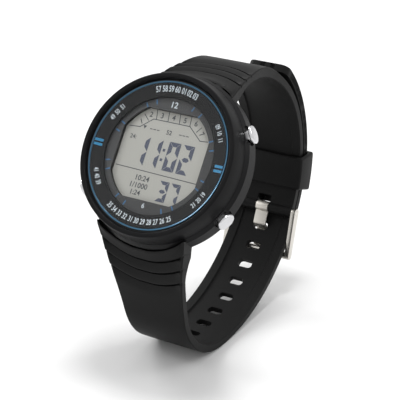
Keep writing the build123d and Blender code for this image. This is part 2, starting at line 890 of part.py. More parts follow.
with BuildPart() as long_strap:
    add(strip(long_line, flare_angle, 0, strap_thickness, strap_case_half_width))
    channel = strip(long_line, flare_channel_angle, 0, channel_depth, strap_half_width - channel_rim)
    add(channel, mode=Mode.SUBTRACT)
    add(strap_head(-1, lower_head_shares))
    add(head_clearance, mode=Mode.SUBTRACT)
    add(lug_pair(-1, body_clearance), mode=Mode.SUBTRACT)
    add(bar_rod(-1, bar_radius + slide_clearance), mode=Mode.SUBTRACT)
    add(rib_grooves(long_line, flare_angle, lower_rib_reaches), mode=Mode.SUBTRACT)
    for plane in hole_planes:
        with BuildSketch(plane):
            Rectangle(hole_width, hole_length)
        extrude(amount=overrun + strap_thickness, both=True, mode=Mode.SUBTRACT)
    front_view = Plane(origin=(0, seat_y, dial_height), x_dir=(1, 0, 0), z_dir=(0, -1, 0))
    add(strap_envelope(front_view, long_taper_start, long_taper_end), mode=Mode.INTERSECT)
    with BuildLine():
        _, tip_low = long_line(0, flare_angle)
        _, tip_high = long_line(strap_thickness, flare_angle)
    tip = (0, (tip_low.X + tip_high.X) / 2, (tip_low.Y + tip_high.Y) / 2)
    taper_foot = tip[2] - tip_taper_drop
    with BuildSketch(Plane.XZ.offset(-seat_y)):
        with BuildLine():
            side = Bezier(
                (-strap_half_width, taper_foot),
                (-strap_half_width, taper_foot + tip_taper_drop / 2),
                (strap_half_width - tip_width, tip[2] - tip_taper_drop / 3),
                (strap_half_width - tip_width, tip[2] + overrun),
            )
            Polyline(
                side @ 1,
                (-2 * strap_half_width, tip[2] + overrun),
                (-2 * strap_half_width, taper_foot),
                side @ 0,
            )
        make_face()
    extrude(amount=-2 * wrap_outer_radius, mode=Mode.SUBTRACT)
    tip_edges = long_strap.faces().sort_by_distance(tip)[0].edges().sort_by(SortBy.LENGTH)[:2]
    fillet(tip_edges, radius=tip_corner)
save(long_strap.part, "long_strap")

# Short strap, from the case over the top and round inside the long one to the buckle pin
with BuildPart() as short_strap:
    add(strip(short_line, pin_angle, 0, strap_thickness, strap_case_half_width))
    with BuildSketch(Plane.YZ):
        with Locations(pin_point):
            Circle(pin_radius + barrel_wall)
    extrude(amount=strap_half_width, both=True)
    channel = strip(short_line, 0, 0, channel_depth, strap_half_width - channel_rim)
    add(channel, mode=Mode.SUBTRACT)
    add(strap_head(1, upper_head_shares))
    add(head_clearance, mode=Mode.SUBTRACT)
    add(lug_pair(1, body_clearance), mode=Mode.SUBTRACT)
    add(bar_rod(1, bar_radius + slide_clearance), mode=Mode.SUBTRACT)
    add(rib_grooves(short_line, pin_angle, upper_rib_reaches), mode=Mode.SUBTRACT)
    top_view = Plane(origin=(0, dial_y, wrap_z), x_dir=(1, 0, 0), z_dir=(0, 0, 1))
    add(strap_envelope(top_view, short_taper_start, short_taper_end), mode=Mode.INTERSECT)
    with BuildSketch(Plane.YZ):
        with Locations(pin_point):
            Circle(pin_radius + slide_clearance)
    extrude(amount=strap_half_width, both=True, mode=Mode.SUBTRACT)
    with BuildSketch(Plane.YZ):
        with Locations(pin_point):
            Circle(tongue_notch_length)
    extrude(amount=tongue_width / 2 + tongue_notch_side, both=True, mode=Mode.SUBTRACT)
save(short_strap.part, "short_strap")

# Keeper, a closed loop round both straps
with BuildPart() as keeper:
    for grow, cut in ((keeper_wall, Mode.ADD), (0, Mode.SUBTRACT)):
        with BuildSketch(Plane.YZ):
            with Locations((wrap_y, wrap_z)):
                Circle(wrap_outer_radius + keeper_play + grow)
                Circle(wrap_radius - keeper_play - grow, mode=Mode.SUBTRACT)
            with BuildLine():
                first = wrap_point(2 * wrap_outer_radius, keeper_top_angle)
                last = wrap_point(2 * wrap_outer_radius, keeper_top_angle - keeper_sweep)
                Polyline((wrap_y, wrap_z), first, last, close=True)
            make_face(mode=Mode.INTERSECT)
        extrude(amount=strap_half_width + keeper_side_play + grow, both=True, mode=cut)
save(keeper.part, "keeper")

# Buckle pin, frame and tongue
bar_reach_seat = seat_radius + strap_thickness + frame_bar_gap + frame_bar_radius
bar_point = seat_point(bar_reach_seat, frame_bar_angle)
frame_inner = strap_half_width + frame_side_gap
with BuildPart() as buckle_pin:
    with BuildSketch(Plane.YZ):
        with Locations(pin_point):
            Circle(pin_radius)
    extrude(amount=frame_inner + frame_arm_thickness, both=True)
save(buckle_pin.part, "buckle_pin")

with BuildPart() as buckle_frame:
    for hand in (-1, 1):
        with BuildSketch(Plane.YZ.offset(hand * frame_inner)):
            with Locations(pin_point):
                Circle(pin_radius + frame_arm_wall)
            with Locations(bar_point):
                Circle(frame_bar_radius)
            make_hull()
            with Locations(pin_point):
                Circle(pin_radius + slide_clearance, mode=Mode.SUBTRACT)
        extrude(amount=hand * frame_arm_thickness)
    with BuildSketch(Plane.YZ):
        with Locations(bar_point):
            Circle(frame_bar_radius)
    extrude(amount=frame_inner, both=True)
save(buckle_frame.part, "buckle_frame")

over_bar = bar_reach_seat + frame_bar_radius + tongue_bar_gap + tongue_thickness / 2
with BuildPart() as buckle_tongue:
    with BuildSketch(Plane.YZ):
        with BuildLine():
            blade = FilletPolyline(
                pin_point,
                seat_point(seat_radius - tongue_hole_gap, tongue_inner_angle),
                seat_point(seat_radius + strap_thickness + tongue_hole_gap, tongue_outer_angle),
                seat_point(over_bar, frame_bar_angle),
                seat_point(over_bar, frame_bar_angle - tongue_overhang_angle),
                radius=tongue_bend,
            )
        trace(blade, line_width=tongue_thickness)
        with Locations(pin_point):
            Circle(pin_radius + tongue_loop_wall)
            Circle(pin_radius + slide_clearance, mode=Mode.SUBTRACT)
    extrude(amount=tongue_width / 2, both=True)
save(buckle_tongue.part, "buckle_tongue")
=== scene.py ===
import json
import math

import bmesh
import bpy
from mathutils import Matrix, Vector


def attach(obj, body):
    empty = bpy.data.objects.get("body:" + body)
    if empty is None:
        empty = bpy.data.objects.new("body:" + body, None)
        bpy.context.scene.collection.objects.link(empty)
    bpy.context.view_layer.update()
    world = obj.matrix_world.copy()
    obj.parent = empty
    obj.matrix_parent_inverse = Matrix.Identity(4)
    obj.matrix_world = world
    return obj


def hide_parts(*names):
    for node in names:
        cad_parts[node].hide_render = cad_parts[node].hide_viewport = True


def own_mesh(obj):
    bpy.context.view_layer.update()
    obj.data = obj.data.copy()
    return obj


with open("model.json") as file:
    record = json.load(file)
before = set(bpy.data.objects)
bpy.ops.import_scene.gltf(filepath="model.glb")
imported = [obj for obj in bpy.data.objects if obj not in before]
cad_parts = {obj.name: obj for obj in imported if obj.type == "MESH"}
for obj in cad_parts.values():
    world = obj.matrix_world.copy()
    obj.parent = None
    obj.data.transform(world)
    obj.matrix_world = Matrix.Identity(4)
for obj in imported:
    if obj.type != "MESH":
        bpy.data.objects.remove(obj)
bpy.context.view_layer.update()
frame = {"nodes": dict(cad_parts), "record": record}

nodes = frame["nodes"]
mm = 0.001
mergeWithin = {"solid": 0.002, "turned": 0.003, "strap": 0.02}  # mm within which points become one

dialPlace = {
    "lean": 35.8,                      # degrees that the dial leans back from level
    "centre": (0, -29.0415, 64.9545),  # middle of the blue ring's top
}
leanBack = math.radians(dialPlace["lean"])
dialTurn = Matrix.Rotation(math.pi / 2 - leanBack, 4, "X")
dialMatrix = Matrix.Translation(Vector(dialPlace["centre"]) * mm) @ dialTurn


# ways of working that every piece uses

def deselectAll():
    if bpy.context.object and bpy.context.object.mode != "OBJECT":
        bpy.ops.object.mode_set(mode="OBJECT")
    bpy.ops.object.select_all(action="DESELECT")


def pick(piece):
    deselectAll()
    piece.select_set(True)
    bpy.context.view_layer.objects.active = piece


def editParts(piece, kind, test=lambda part: True):
    # opens the piece in edit mode with only the parts that pass the test selected
    pick(piece)
    bpy.ops.object.mode_set(mode="EDIT")
    bpy.ops.mesh.select_mode(type=kind)
    bpy.ops.mesh.select_all(action="DESELECT")
    edited = bmesh.from_edit_mesh(piece.data)
    parts = {"VERT": edited.verts, "EDGE": edited.edges, "FACE": edited.faces}[kind]
    for part in parts:
        part.select_set(bool(test(part)))
    edited.select_flush_mode()
    bmesh.update_edit_mesh(piece.data)


def endEdit():
    bpy.ops.object.mode_set(mode="OBJECT")


def applyModifier(piece, kind, settings):
    pick(piece)
    modifier = piece.modifiers.new(kind.title(), kind)
    for key, value in settings.items():
        setattr(modifier, key, value)
    bpy.ops.object.modifier_apply(modifier=modifier.name)


def bevelSharp(piece, width, segments, sharpAngle):
    applyModifier(piece, "BEVEL", {
        "width": width * mm, "segments": segments,
        "limit_method": "ANGLE", "angle_limit": math.radians(sharpAngle),
    })


def settle(piece, matrix=None):
    # puts the piece's place into its mesh
    pick(piece)
    if matrix:
        piece.matrix_world = matrix @ piece.matrix_world
    bpy.ops.object.transform_apply(location=True, rotation=True, scale=True)


def rotated(angle, axis="Z"):
    return Matrix.Rotation(math.radians(angle), 4, axis)


def copyOf(piece, name, matrix):
    twin = piece.copy()
    twin.data = piece.data.copy()
    twin.name = name
    bpy.context.collection.objects.link(twin)
    twin.data.transform(matrix)
    return twin


def cleanMesh(piece, distance, recalculate=True):
    editParts(piece, "VERT")
    bpy.ops.mesh.remove_doubles(threshold=distance * mm)
    if recalculate:
        bpy.ops.mesh.normals_make_consistent(inside=False)
    endEdit()


def mergedCopy(node, name):
    # a solid's mesh as one connected surface, to be worked on further
    piece = copyOf(nodes[node], name, Matrix())
    piece.parent = None
    pick(piece)
    bpy.ops.mesh.customdata_custom_splitnormals_clear()
    cleanMesh(piece, mergeWithin["solid"], recalculate=False)
    return piece


def joinAll(pieces, name):
    deselectAll()
    for piece in pieces:
        piece.select_set(True)
    bpy.context.view_layer.objects.active = pieces[0]
    bpy.ops.object.join()
    pieces[0].name = name
    return pieces[0]


def finishPiece(piece, body, slot, finish=None, smoothAngle=35):
    # a piece has its slot's own finish unless another is named
    pick(piece)
    bpy.ops.object.shade_smooth_by_angle(angle=math.radians(smoothAngle))
    piece.data.materials.clear()
    piece.data.materials.append(finishes[finish or slotFinish[slot]])
    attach(piece, body)


# materials

def linear(code):
    # an sRGB hex colour as the linear one that Blender works in
    values = [int(code[place:place + 2], 16) / 255 for place in (1, 3, 5)]
    return (*[v / 12.92 if v <= 0.04045 else ((v + 0.055) / 1.055) ** 2.4 for v in values], 1)


def addNode(tree, kind, settings={}, links={}):
    node = tree.nodes.new("ShaderNode" + kind)
    for key, value in settings.items():
        if isinstance(key, str) and hasattr(node, key):
            setattr(node, key, value)
        else:
            node.inputs[key].default_value = value
    for key, source in links.items():
        tree.links.new(source, node.inputs[key])
    return node


def newTree(name):
    material = bpy.data.materials.new(name)
    material.use_nodes = True
    material.node_tree.nodes.clear()
    return material, material.node_tree


patternLook = {
    # detail of the broad and of the fine pattern, and how many times its depth the fine one is wide
    "polymer": {"broad": 3.0, "fine": 2.0, "widthToDepth": 3},
    "metal": {"broad": 2.0, "fine": 4.0, "widthToDepth": 4},
    "coatRoughness": 0.1,
}


def workedFinish(name, look):
    # a broad unevenness of colour, and the fine grain of a mould or the lines of how a metal was worked
    metal = "line" in look
    pattern = patternLook["metal" if metal else "polymer"]
    width = (look["line"] if metal else look["grain"]) * mm
    material, tree = newTree(name)
    place = addNode(tree, "TexCoord").outputs["Object"]
    broad = addNode(
        tree, "TexNoise", {"Scale": 1 / (look["patch"] * mm), "Detail": pattern["broad"]}, {"Vector": place},
    ).outputs[0]
    if "stretch" in look:
        place = addNode(tree, "Mapping", {"Scale": look["stretch"]}, {"Vector": place}).outputs[0]
    fine = addNode(
        tree, "TexNoise", {"Scale": 1 / width, "Detail": pattern["fine"]}, {"Vector": place},
    ).outputs[0]
    first, second = look["colours"]
    colour = addNode(
        tree, "Mix", {"data_type": "RGBA", 6: linear(first), 7: linear(second)}, {0: broad},
    ).outputs[2]
    low, high = look["roughness"]
    rough = addNode(
        tree, "MapRange", {"To Min": low, "To Max": high}, {"Value": fine if metal else broad},
    ).outputs[0]
    bump = addNode(
        tree, "Bump", {"Strength": look["bump"], "Distance": width / pattern["widthToDepth"]},
        {"Height": fine},
    ).outputs[0]
    sockets = {"Coat Weight": look.get("coat", 0.0), "Coat Roughness": patternLook["coatRoughness"]}
    if metal:  # its IOR stays Blender's own
        sockets["Metallic"] = 1.0
    else:
        sockets["IOR"] = look["ior"]
        sockets["Specular IOR Level"] = look.get("specular", 0.5)
        sockets["Transmission Weight"] = look.get("clear", 0.0)
    shader = addNode(
        tree, "BsdfPrincipled", sockets, {"Base Color": colour, "Roughness": rough, "Normal": bump},
    )
    addNode(tree, "OutputMaterial", {}, {"Surface": shader.outputs[0]})
    return material


def darkenWalls(material, look):
    # painted shade: the window's wall, below the dial's face, is coloured dark where shade falls in the
    # recess
    tree = material.node_tree
    shader = next(node for node in tree.nodes if node.type == "BSDF_PRINCIPLED")
    colour = shader.inputs["Base Color"].links[0].from_socket
    place = addNode(tree, "TexCoord").outputs["Object"]
    level = addNode(
        tree, "Mapping",
        {"vector_type": "TEXTURE", "Location": dialMatrix.translation, "Rotation": dialMatrix.to_euler()},
        {"Vector": place},
    ).outputs[0]
    parts = addNode(tree, "SeparateXYZ", {}, {0: level})
    deep = addNode(
        tree, "MapRange", {"From Min": look["top"] * mm, "From Max": look["bottom"] * mm},
        {"Value": parts.outputs["Z"]},
    )
    mixed = addNode(
        tree, "Mix", {"data_type": "RGBA", 7: linear(look["colour"])}, {0: deep.outputs[0], 6: colour},
    )
    tree.links.new(mixed.outputs[2], shader.inputs["Base Color"])


# a finish is a row of values, in the order of its columns: patch is the mm across one patch of colour, grain
# and line the mm across the fine pattern, and a finish without a slot is for the pieces that name it
polymerColumns = (
    "slot", "colours", "patch", "grain", "bump", "roughness", "ior", "specular", "clear", "coat",
)
moulded = {
    # cast case plastic, spark-eroded mould: deep black with a soft sheen
    "caseSatinPlastic": ("case_plastic", ("#0f0f10", "#151516"), 9, 0.28, 0.22, (0.38, 0.5), 1.5, 0.12),
    # the bezel, the same plastic drawn a little smoother
    "bezelSatinPlastic": ("bezel_plastic", ("#101011", "#161617"), 11, 0.25, 0.16, (0.34, 0.44), 1.5, 0.08),
    # moulded resin strap, blasted mould: dull black, a powdery sheen on its bends
    "strapMouldedResin": ("strap_rubber", ("#121212", "#181818"), 7, 0.32, 0.28, (0.42, 0.54), 1.48, 0.1),
    # soft black sealing rubber, dull
    "sealRubber": ("seal_rubber", ("#0c0c0c", "#131313"), 4, 0.2, 0.2, (0.6, 0.75), 1.5),
    # charcoal dial ring, printed flat
    "printRingPlastic": ("ring_plastic", ("#1c1d1e", "#222324"), 8, 0.2, 0.06, (0.5, 0.6), 1.46, 0.2),
    # grey lacquered inner dial with a faint metal flake
    "dialGreyLacquer": ("dial_plastic", ("#3d3e3f", "#48494a"), 6, 0.18, 0.1, (0.36, 0.48), 1.5, 0.3),
    # the display's grey reflector seen through its glass
    "displayReflector": ("display_glass", ("#a9a9a3", "#b0b0aa"), 12, 0.16, 0.04, (0.5, 0.6), 1.5),
    # dark liquid crystal of a driven segment, slate with a blue cast
    "displaySegment": (None, ("#474d5e", "#525869"), 3, 0.2, 0.02, (0.5, 0.6), 1.5),
    # black mask printed on the display's glass
    "displayMask": (None, ("#3b3f45", "#454a50"), 3, 0.2, 0.02, (0.5, 0.6), 1.5),
    # silver-white screen print
    "silverPrint": (None, ("#c3ced6", "#d2dbe1"), 2, 0.15, 0.05, (0.35, 0.45), 1.5),
    # bright blue screen print
    "bluePrint": (None, ("#1c78a6", "#2485b4"), 2, 0.15, 0.05, (0.35, 0.45), 1.5),
    # the same blue laid thin over grey, so duller
    "blueTickPrint": (None, ("#2c618e", "#366f9c"), 2, 0.15, 0.05, (0.4, 0.5), 1.5),
    # white engineering plastic of the movement's frames
    "modulePlastic": ("module_plastic", ("#cfcfca", "#dadad5"), 5, 0.25, 0.1, (0.45, 0.55), 1.53),
    # frosted clear acrylic behind the display
    "guideAcrylic": ("guide_plastic", ("#e3eae4", "#eff3ef"), 5, 0.2, 0.15, (0.35, 0.5), 1.49, 0.5, 0.4),
    # cast epoxy lamp, straw coloured and glossy
    "lampResin": ("lamp_resin", ("#e9e3b4", "#f1ecc6"), 1, 0.2, 0.05, (0.12, 0.2), 1.54, 0.5, 0.3),
    # layered conductive rubber strip, dark grey and dull
    "connectorRubber": ("connector_rubber", ("#3a3a3c", "#6f6f70"), 0.4, 0.12, 0.1, (0.55, 0.7), 1.45),
    # green coated board: solder mask, glossy with a woven unevenness
    "boardSolderMask": (
        "board_laminate", ("#14552c", "#1b6a38"), 1.4, 0.3, 0.12, (0.22, 0.34), 1.52, 0.5, 0.0, 0.3,
    ),
    # black moulding compound over the chip, fine and dull
    "chipResin": ("chip_resin", ("#1b1b1c", "#242425"), 2, 0.12, 0.2, (0.55, 0.68), 1.55),
}
metalColumns = ("slot", "colours", "patch", "line", "bump", "roughness", "stretch", "coat")
metals = {
    # anodised aluminium ring, turned: blue that goes nearly white where it faces the light
    "trimAnodisedBlue": ("trim_blue", ("#284f6a", "#37657f"), 6, 0.3, 0.05, (0.24, 0.34), (1, 1, 1), 1.0),
    # plated brass pushers, polished: bright, with faint polishing marks
    "pusherChrome": ("pusher_chrome", ("#d0d0d2", "#dcdcde"), 3, 0.5, 0.03, (0.2, 0.28)),
    # stamped stainless steel buckle, brushed then buffed, with a warm cast
    "buckleSteel": ("buckle_steel", ("#cdc9c2", "#dcd8d1"), 4, 0.12, 0.1, (0.16, 0.3), (0.08, 1, 1)),
    # the buckle's tongue, barrel-tumbled steel: satin, so it takes an even pale light
    "tongueSatinSteel": (None, ("#d6d2ca", "#dfdbd4"), 4, 0.2, 0.04, (0.42, 0.52)),
    # stainless back, turned finish: grey with fine rings that here run as one grain
    "backSteel": ("back_steel", ("#a9a9a7", "#b8b8b6"), 8, 0.16, 0.12, (0.24, 0.38), (0.06, 1, 1)),
    # cold-headed steel screws, tumbled: plain bright grey
    "screwSteel": (None, ("#b3b3b2", "#c2c2c0"), 2, 0.15, 0.06, (0.2, 0.32)),
    # drawn steel bars: long lines along the rod
    "barSteel": ("bar_steel", ("#9d9d9c", "#acacaa"), 3, 0.1, 0.1, (0.22, 0.36), (0.05, 1, 1)),
    # bright plated can of the timing crystal
    "canPlated": ("can_steel", ("#c9c9cb", "#d6d6d8"), 2, 0.2, 0.06, (0.14, 0.22)),
    # nickel-plated cell, stamped: satin with a slight orange peel
    "cellNickel": ("cell_steel", ("#bdbdb9", "#cbcbc7"), 5, 0.25, 0.1, (0.2, 0.32)),
    # blue-grey spring sheet, rolled
    "clipSpringSheet": ("clip_steel", ("#989a9d", "#a6a8ab"), 3, 0.12, 0.08, (0.25, 0.36), (0.1, 1, 1)),
    # drawn spring wire
    "springWire": ("spring_steel", ("#8d8e90", "#9d9ea0"), 1, 0.12, 0.06, (0.22, 0.34)),
    # rolled brass buzzer disc, slightly tarnished
    "buzzerBrass": ("buzzer_brass", ("#b08d4a", "#c19c56"), 5, 0.14, 0.08, (0.26, 0.42), (0.1, 1, 1)),
    # gilt contacts, bright
    "contactGilt": ("contact_brass", ("#d0a54a", "#dfb459"), 1, 0.2, 0.05, (0.16, 0.26)),
}
finishes, slotFinish = {}, {"crystal_glass": "crystalMineralGlass"}
for columns, rows in ((polymerColumns, moulded), (metalColumns, metals)):
    for name, row in rows.items():
        look = dict(zip(columns, row))
        finishes[name] = workedFinish(name, look)
        if look["slot"]:
            slotFinish[look["slot"]] = name

# painted shade on the display window's wall: coloured dark from these levels down, in mm from the blue ring's
# top
wallShadeLook = {"top": -1.41, "bottom": -1.5, "colour": "#0b0b0c"}
darkenWalls(finishes["dialGreyLacquer"], wallShadeLook)

crystalLook = {
    "tint": "#fbfbfb", "roughness": 0.02, "mirror": 0.008, "grazing": 0.9, "falloff": 5.0,
    "smear": 9, "smearDepth": 0.1, "bump": 0.01,
}


def crystalGlass(look):
    # polished mineral glass: clear, with a thin reflection that grows towards grazing light
    material, tree = newTree("crystalMineralGlass")
    place = addNode(tree, "TexCoord").outputs["Object"]
    smear = addNode(tree, "TexNoise", {"Scale": 1 / (look["smear"] * mm)}, {"Vector": place}).outputs[0]
    bump = addNode(
        tree, "Bump", {"Strength": look["bump"], "Distance": look["smearDepth"] * mm}, {"Height": smear},
    ).outputs[0]
    through = addNode(tree, "BsdfTransparent", {"Color": linear(look["tint"])})
    gloss = addNode(tree, "BsdfGlossy", {"Roughness": look["roughness"]}, {"Normal": bump})
    facing = addNode(tree, "LayerWeight", {}, {"Normal": bump}).outputs["Facing"]
    steep = addNode(tree, "Math", {"operation": "POWER", 1: look["falloff"]}, {0: facing}).outputs[0]
    edge = addNode(
        tree, "MapRange", {"To Min": look["mirror"], "To Max": look["grazing"]}, {"Value": steep},
    ).outputs[0]
    mixed = addNode(tree, "MixShader", {}, {0: edge, 1: through.outputs[0], 2: gloss.outputs[0]})
    addNode(tree, "OutputMaterial", {}, {"Surface": mixed.outputs[0]})
    return material


finishes["crystalMineralGlass"] = crystalGlass(crystalLook)

for part in frame["record"]["subparts"]:
    slots = nodes[part["node"]].data.materials
    slots.clear()
    slots.append(finishes[slotFinish[part["material_slot"]]])
print("materials done:", len(finishes))


# pieces turned on a lathe: a profile of radius and level, spun about its axis

def roundedProfile(points):
    # a corner to be rounded has a radius and steps too, and may name the place that its second side aims at
    profile = []
    for number, (radius, level, *rounding) in enumerate(points):
        corner = Vector((radius, level))
        if not rounding:
            profile.append(corner)
            continue
        reach, steps, *aim = rounding
        before = Vector(points[number - 1][:2])
        after = Vector(aim[0] if aim else points[(number + 1) % len(points)][:2])
        start = corner + (before - corner).normalized() * reach
        end = corner + (after - corner).normalized() * reach
        for step in range(steps + 1):
            share = step / steps
            profile.append((1 - share) ** 2 * start + 2 * share * (1 - share) * corner + share ** 2 * end)
    return profile


def spinProfile(name, look):
    profile = roundedProfile(look["profile"])
    bpy.ops.mesh.primitive_circle_add(vertices=len(profile), radius=mm)
    turned = bpy.context.object
    turned.name = name
    settle(turned)
    for vertex, (radius, level) in zip(turned.data.vertices, profile):
        vertex.co = Vector((radius, 0, level)) * mm
    editParts(turned, "EDGE")
    bpy.ops.mesh.spin(steps=look["steps"], angle=math.tau, center=(0, 0, 0), axis=(0, 0, 1))
    endEdit()
    cleanMesh(turned, mergeWithin["turned"])
    return turned


bezelLook = {
    "profile": [
        (21.2, -4.4), (23.7, -4.4, 0.12, 2), (22.8, 0.9, 0.35, 5),  # the foot and the shoulder
        (21.65, 0.9, 0.18, 3), (21.2, 0.05),                        # the rim, which dips to the crystal
    ],
    "steps": 144,
}
bezel = spinProfile("bezelTurned", bezelLook)
settle(bezel, dialMatrix)
finishPiece(bezel, "watch", "bezel_plastic", smoothAngle=30)
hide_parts("bezel_ring")

trimLook = {
    "profile": [(20.25, -1.35), (20.75, -1.35), (20.75, 0, 0.1, 3), (20.25, -0.09, 0.1, 3)],
    "steps": 144,
}
trim = spinProfile("trimRingTurned", trimLook)
settle(trim, dialMatrix)
finishPiece(trim, "watch", "trim_blue", smoothAngle=30)
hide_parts("trim_ring")

pusherLook = {
    "profile": [
        (0, 16.0), (0.7, 16.0), (0.8, 16.1),                    # the stem's end
        (0.8, 16.55), (0.6, 16.55), (0.6, 16.8), (0.8, 16.8),   # the clip's groove
        (0.8, 23.0), (1.63, 23.0), (1.75, 23.12), (1.75, 25.0),  # the collar
        (2.5, 25.0, 0.15, 2), (2.5, 25.94, 0.42, 5, (0, 26.02)), (1.125, 25.985), (0, 26.0),  # the domed cap
    ],
    "steps": 48, "depth": 6.6, "angles": {"light": 28.5, "reset": -28.5, "mode": 208.5, "start": 151.5},
}
pusher = spinProfile("pusherTurned", pusherLook)
sunk = Matrix.Translation((0, 0, -pusherLook["depth"] * mm))
for button, angle in pusherLook["angles"].items():
    place = dialMatrix @ sunk @ rotated(angle) @ rotated(90, "Y")
    twin = copyOf(pusher, button + "PusherTurned", place)
    finishPiece(twin, button + "_button", "pusher_chrome")
    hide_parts(button + "_pusher")
bpy.data.objects.remove(pusher)
print("turned pieces done")

# the pushers' springs, each a merged copy of its solid
for button, angle in pusherLook["angles"].items():
    turn = math.radians(angle)
    coil = mergedCopy(button + "_pusher_spring", button + "ReturnSpring")
    finishPiece(coil, "watch", "spring_steel", smoothAngle=60)
    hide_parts(button + "_pusher_spring")
    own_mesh(coil)
print("springs done")


# the straps, laid along the same lines as the solids

strapLook = {
    "thickness": 2.3, "halfWidth": 10.0, "caseHalfWidth": 13.8, "lean": 0.5, "rowStep": 1.3,
    "crown": 0.08, "crownBend": 4,                                # the outer face falls towards its edges
    "channelRim": 2.8, "channelDepth": 0.5, "channelSlope": 0.3,  # the hollow along the wrist face
    "edgeBand": 1.2, "bandSlope": 0.4, "edgeWidth": 0.22, "edgeDrop": 0.25, "wristEdgeDrop": 0.2,
    "bowSteps": 3, "bowFade": 7,  # the ribs' rows bow round the dial, and those after them less and less
}
ribLook = {
    "caseGap": 24.58, "depth": 1.2, "endDepth": 0.3,
    # a groove's rows from its upright wall on: how far on, and how much of the depth
    "groove": ((-0.3, 0.0), (-0.08, 0.025), (0.0, 0.7), (0.08, 1.0), (0.46, 1.0)),
    # then the rows of the slope back up to the next groove
    "slopeFrom": 0.56, "slopeShorter": 0.94, "slopeBend": 1.2, "slopeShares": (0.0, 0.33, 0.67, 1.0),
    # the face swells where it meets the case, over the lugs
    "rise": 0.75, "riseLength": 2.6, "riseEdge": 0.15, "riseFrom": 0.2, "riseBefore": 0.75, "riseBend": 1.5,
}
searchLook = {"length": 34.0, "halvings": 30}  # the mm of a line in which a reach is looked for
nearly = 0.01  # mm, or part of a column, that counts as nothing


def bend(start, lean, end, share):
    # an even change from start to end, which sets off towards lean
    rest = 1 - share
    return start * rest ** 3 + 3 * lean * share * rest ** 2 + end * (3 * share ** 2 * rest + share ** 3)


def clamped(share):
    return min(max(share, 0), 1)


def heading(angle):
    return Vector((math.cos(angle), math.sin(angle)))


def layLine(look):
    # each stretch is (radius, degrees) for a bend or (0, length) for a straight
    laid, place, along, angle = [], Vector(look["start"]), 0, math.radians(look["heading"])
    for radius, amount in look["stretches"]:
        turn = math.copysign(1, amount) if radius else 0
        length = radius * math.radians(abs(amount)) if radius else amount
        laid.append({"start": place, "angle": angle, "radius": radius, "turn": turn, "from": along})
        place, angle = stretchPoint(laid[-1], length)
        along += length
    return {"laid": laid, "outer": look["outer"], "length": along}


def stretchPoint(stretch, rest):
    # where a stretch has come to after that length of it, and its heading there
    angle, radius, turn = stretch["angle"], stretch["radius"], stretch["turn"]
    if not radius:
        return stretch["start"] + rest * heading(angle), angle
    after = angle + turn * rest / radius
    offset = Vector((math.sin(after) - math.sin(angle), math.cos(angle) - math.cos(after)))
    return stretch["start"] + turn * radius * offset, after


def linePoint(line, along, depth):
    # a point of the side view, in mm, that far along the wrist face and that deep in the strap
    stretch = line["laid"][0]
    for candidate in line["laid"][1:]:
        if along >= candidate["from"]:
            stretch = candidate
    place, angle = stretchPoint(stretch, along - stretch["from"])
    return place + line["outer"] * depth * heading(angle + math.pi / 2)


def dialReach(place):
    # how far a point of the side view is from the dial's axis, along the dial
    away = place - Vector(dialPlace["centre"][1:])
    return abs(away.x * math.sin(leanBack) + away.y * math.cos(leanBack))


def alongAt(line, depth, reach):
    # how far along the line that reach is, found by halving
    low, high = 0.0, searchLook["length"]
    for step in range(searchLook["halvings"]):
        middle = (low + high) / 2
        if dialReach(linePoint(line, middle, depth)) < reach:
            low = middle
        else:
            high = middle
    return low


def taper(place, ends):
    # half of the width, which narrows from the case to the even part between two places
    share = clamped((place - ends[0]) / (ends[1] - ends[0]))
    wide, narrow = strapLook["caseHalfWidth"], strapLook["halfWidth"]
    return bend(wide, wide + (narrow - wide) * strapLook["lean"], narrow, share)


def ribRows(plan):
    # distances from the dial's axis at which the ribs' rows lie, each with how deep the face drops there
    start, rise, drop = ribLook["caseGap"], ribLook["rise"], ribLook["depth"]
    rows = [(start, ribLook["riseEdge"] - rise)]
    room = plan["ribs"][0] - ribLook["riseBefore"] - start
    for part in (0, 0.25, 0.5, 0.75, 1):
        reach = start + ribLook["riseFrom"] + room * part
        share = min((reach - start) / ribLook["riseLength"], 1)
        rows.append((reach, -rise * (1 - share) ** ribLook["riseBend"]))
    gaps = [b - a for a, b in zip(plan["ribs"], plan["ribs"][1:])] + [plan["lastRamp"]]
    for reach, gap in zip(plan["ribs"], gaps):
        rows += [(reach + onward, drop * part) for onward, part in ribLook["groove"]]
        for share in ribLook["slopeShares"]:
            onward = ribLook["slopeFrom"] + (gap - ribLook["slopeShorter"]) * share
            rows.append((reach + onward, drop * plan["ribSlope"] * (1 - share) ** ribLook["slopeBend"]))
    return rows


def strapRows(line, plan):
    rows = [{"reach": reach, "drop": drop, "bow": 1.0} for reach, drop in ribRows(plan)]
    for row in rows:
        row["along"] = alongAt(line, strapLook["thickness"], row["reach"])
    lastReach, here = rows[-1]["reach"], rows[-1]["along"]
    places = []
    for mark in sorted(plan["marks"]) + [line["length"]]:
        count = max(1, round((mark - here) / strapLook["rowStep"]))
        places += [here + (mark - here) * (step + 1) / count for step in range(count)]
        here = mark
    for number, along in enumerate(places):
        bow = max(0, 1 - (number + 1) / strapLook["bowFade"])
        rows.append({"reach": lastReach, "drop": 0.0, "bow": bow, "along": along})
    return rows


def columnPlaces(inner, wide):
    # places across one half of a strap, from the holes' side to its edge
    rim, band = wide - strapLook["channelRim"], wide - strapLook["edgeBand"]
    flat = rim - strapLook["channelSlope"]
    between = [inner + (flat - inner) * part / 3 for part in (0, 1, 2)]
    return between + [flat, rim, band, band + strapLook["bandSlope"], wide - strapLook["edgeWidth"], wide]


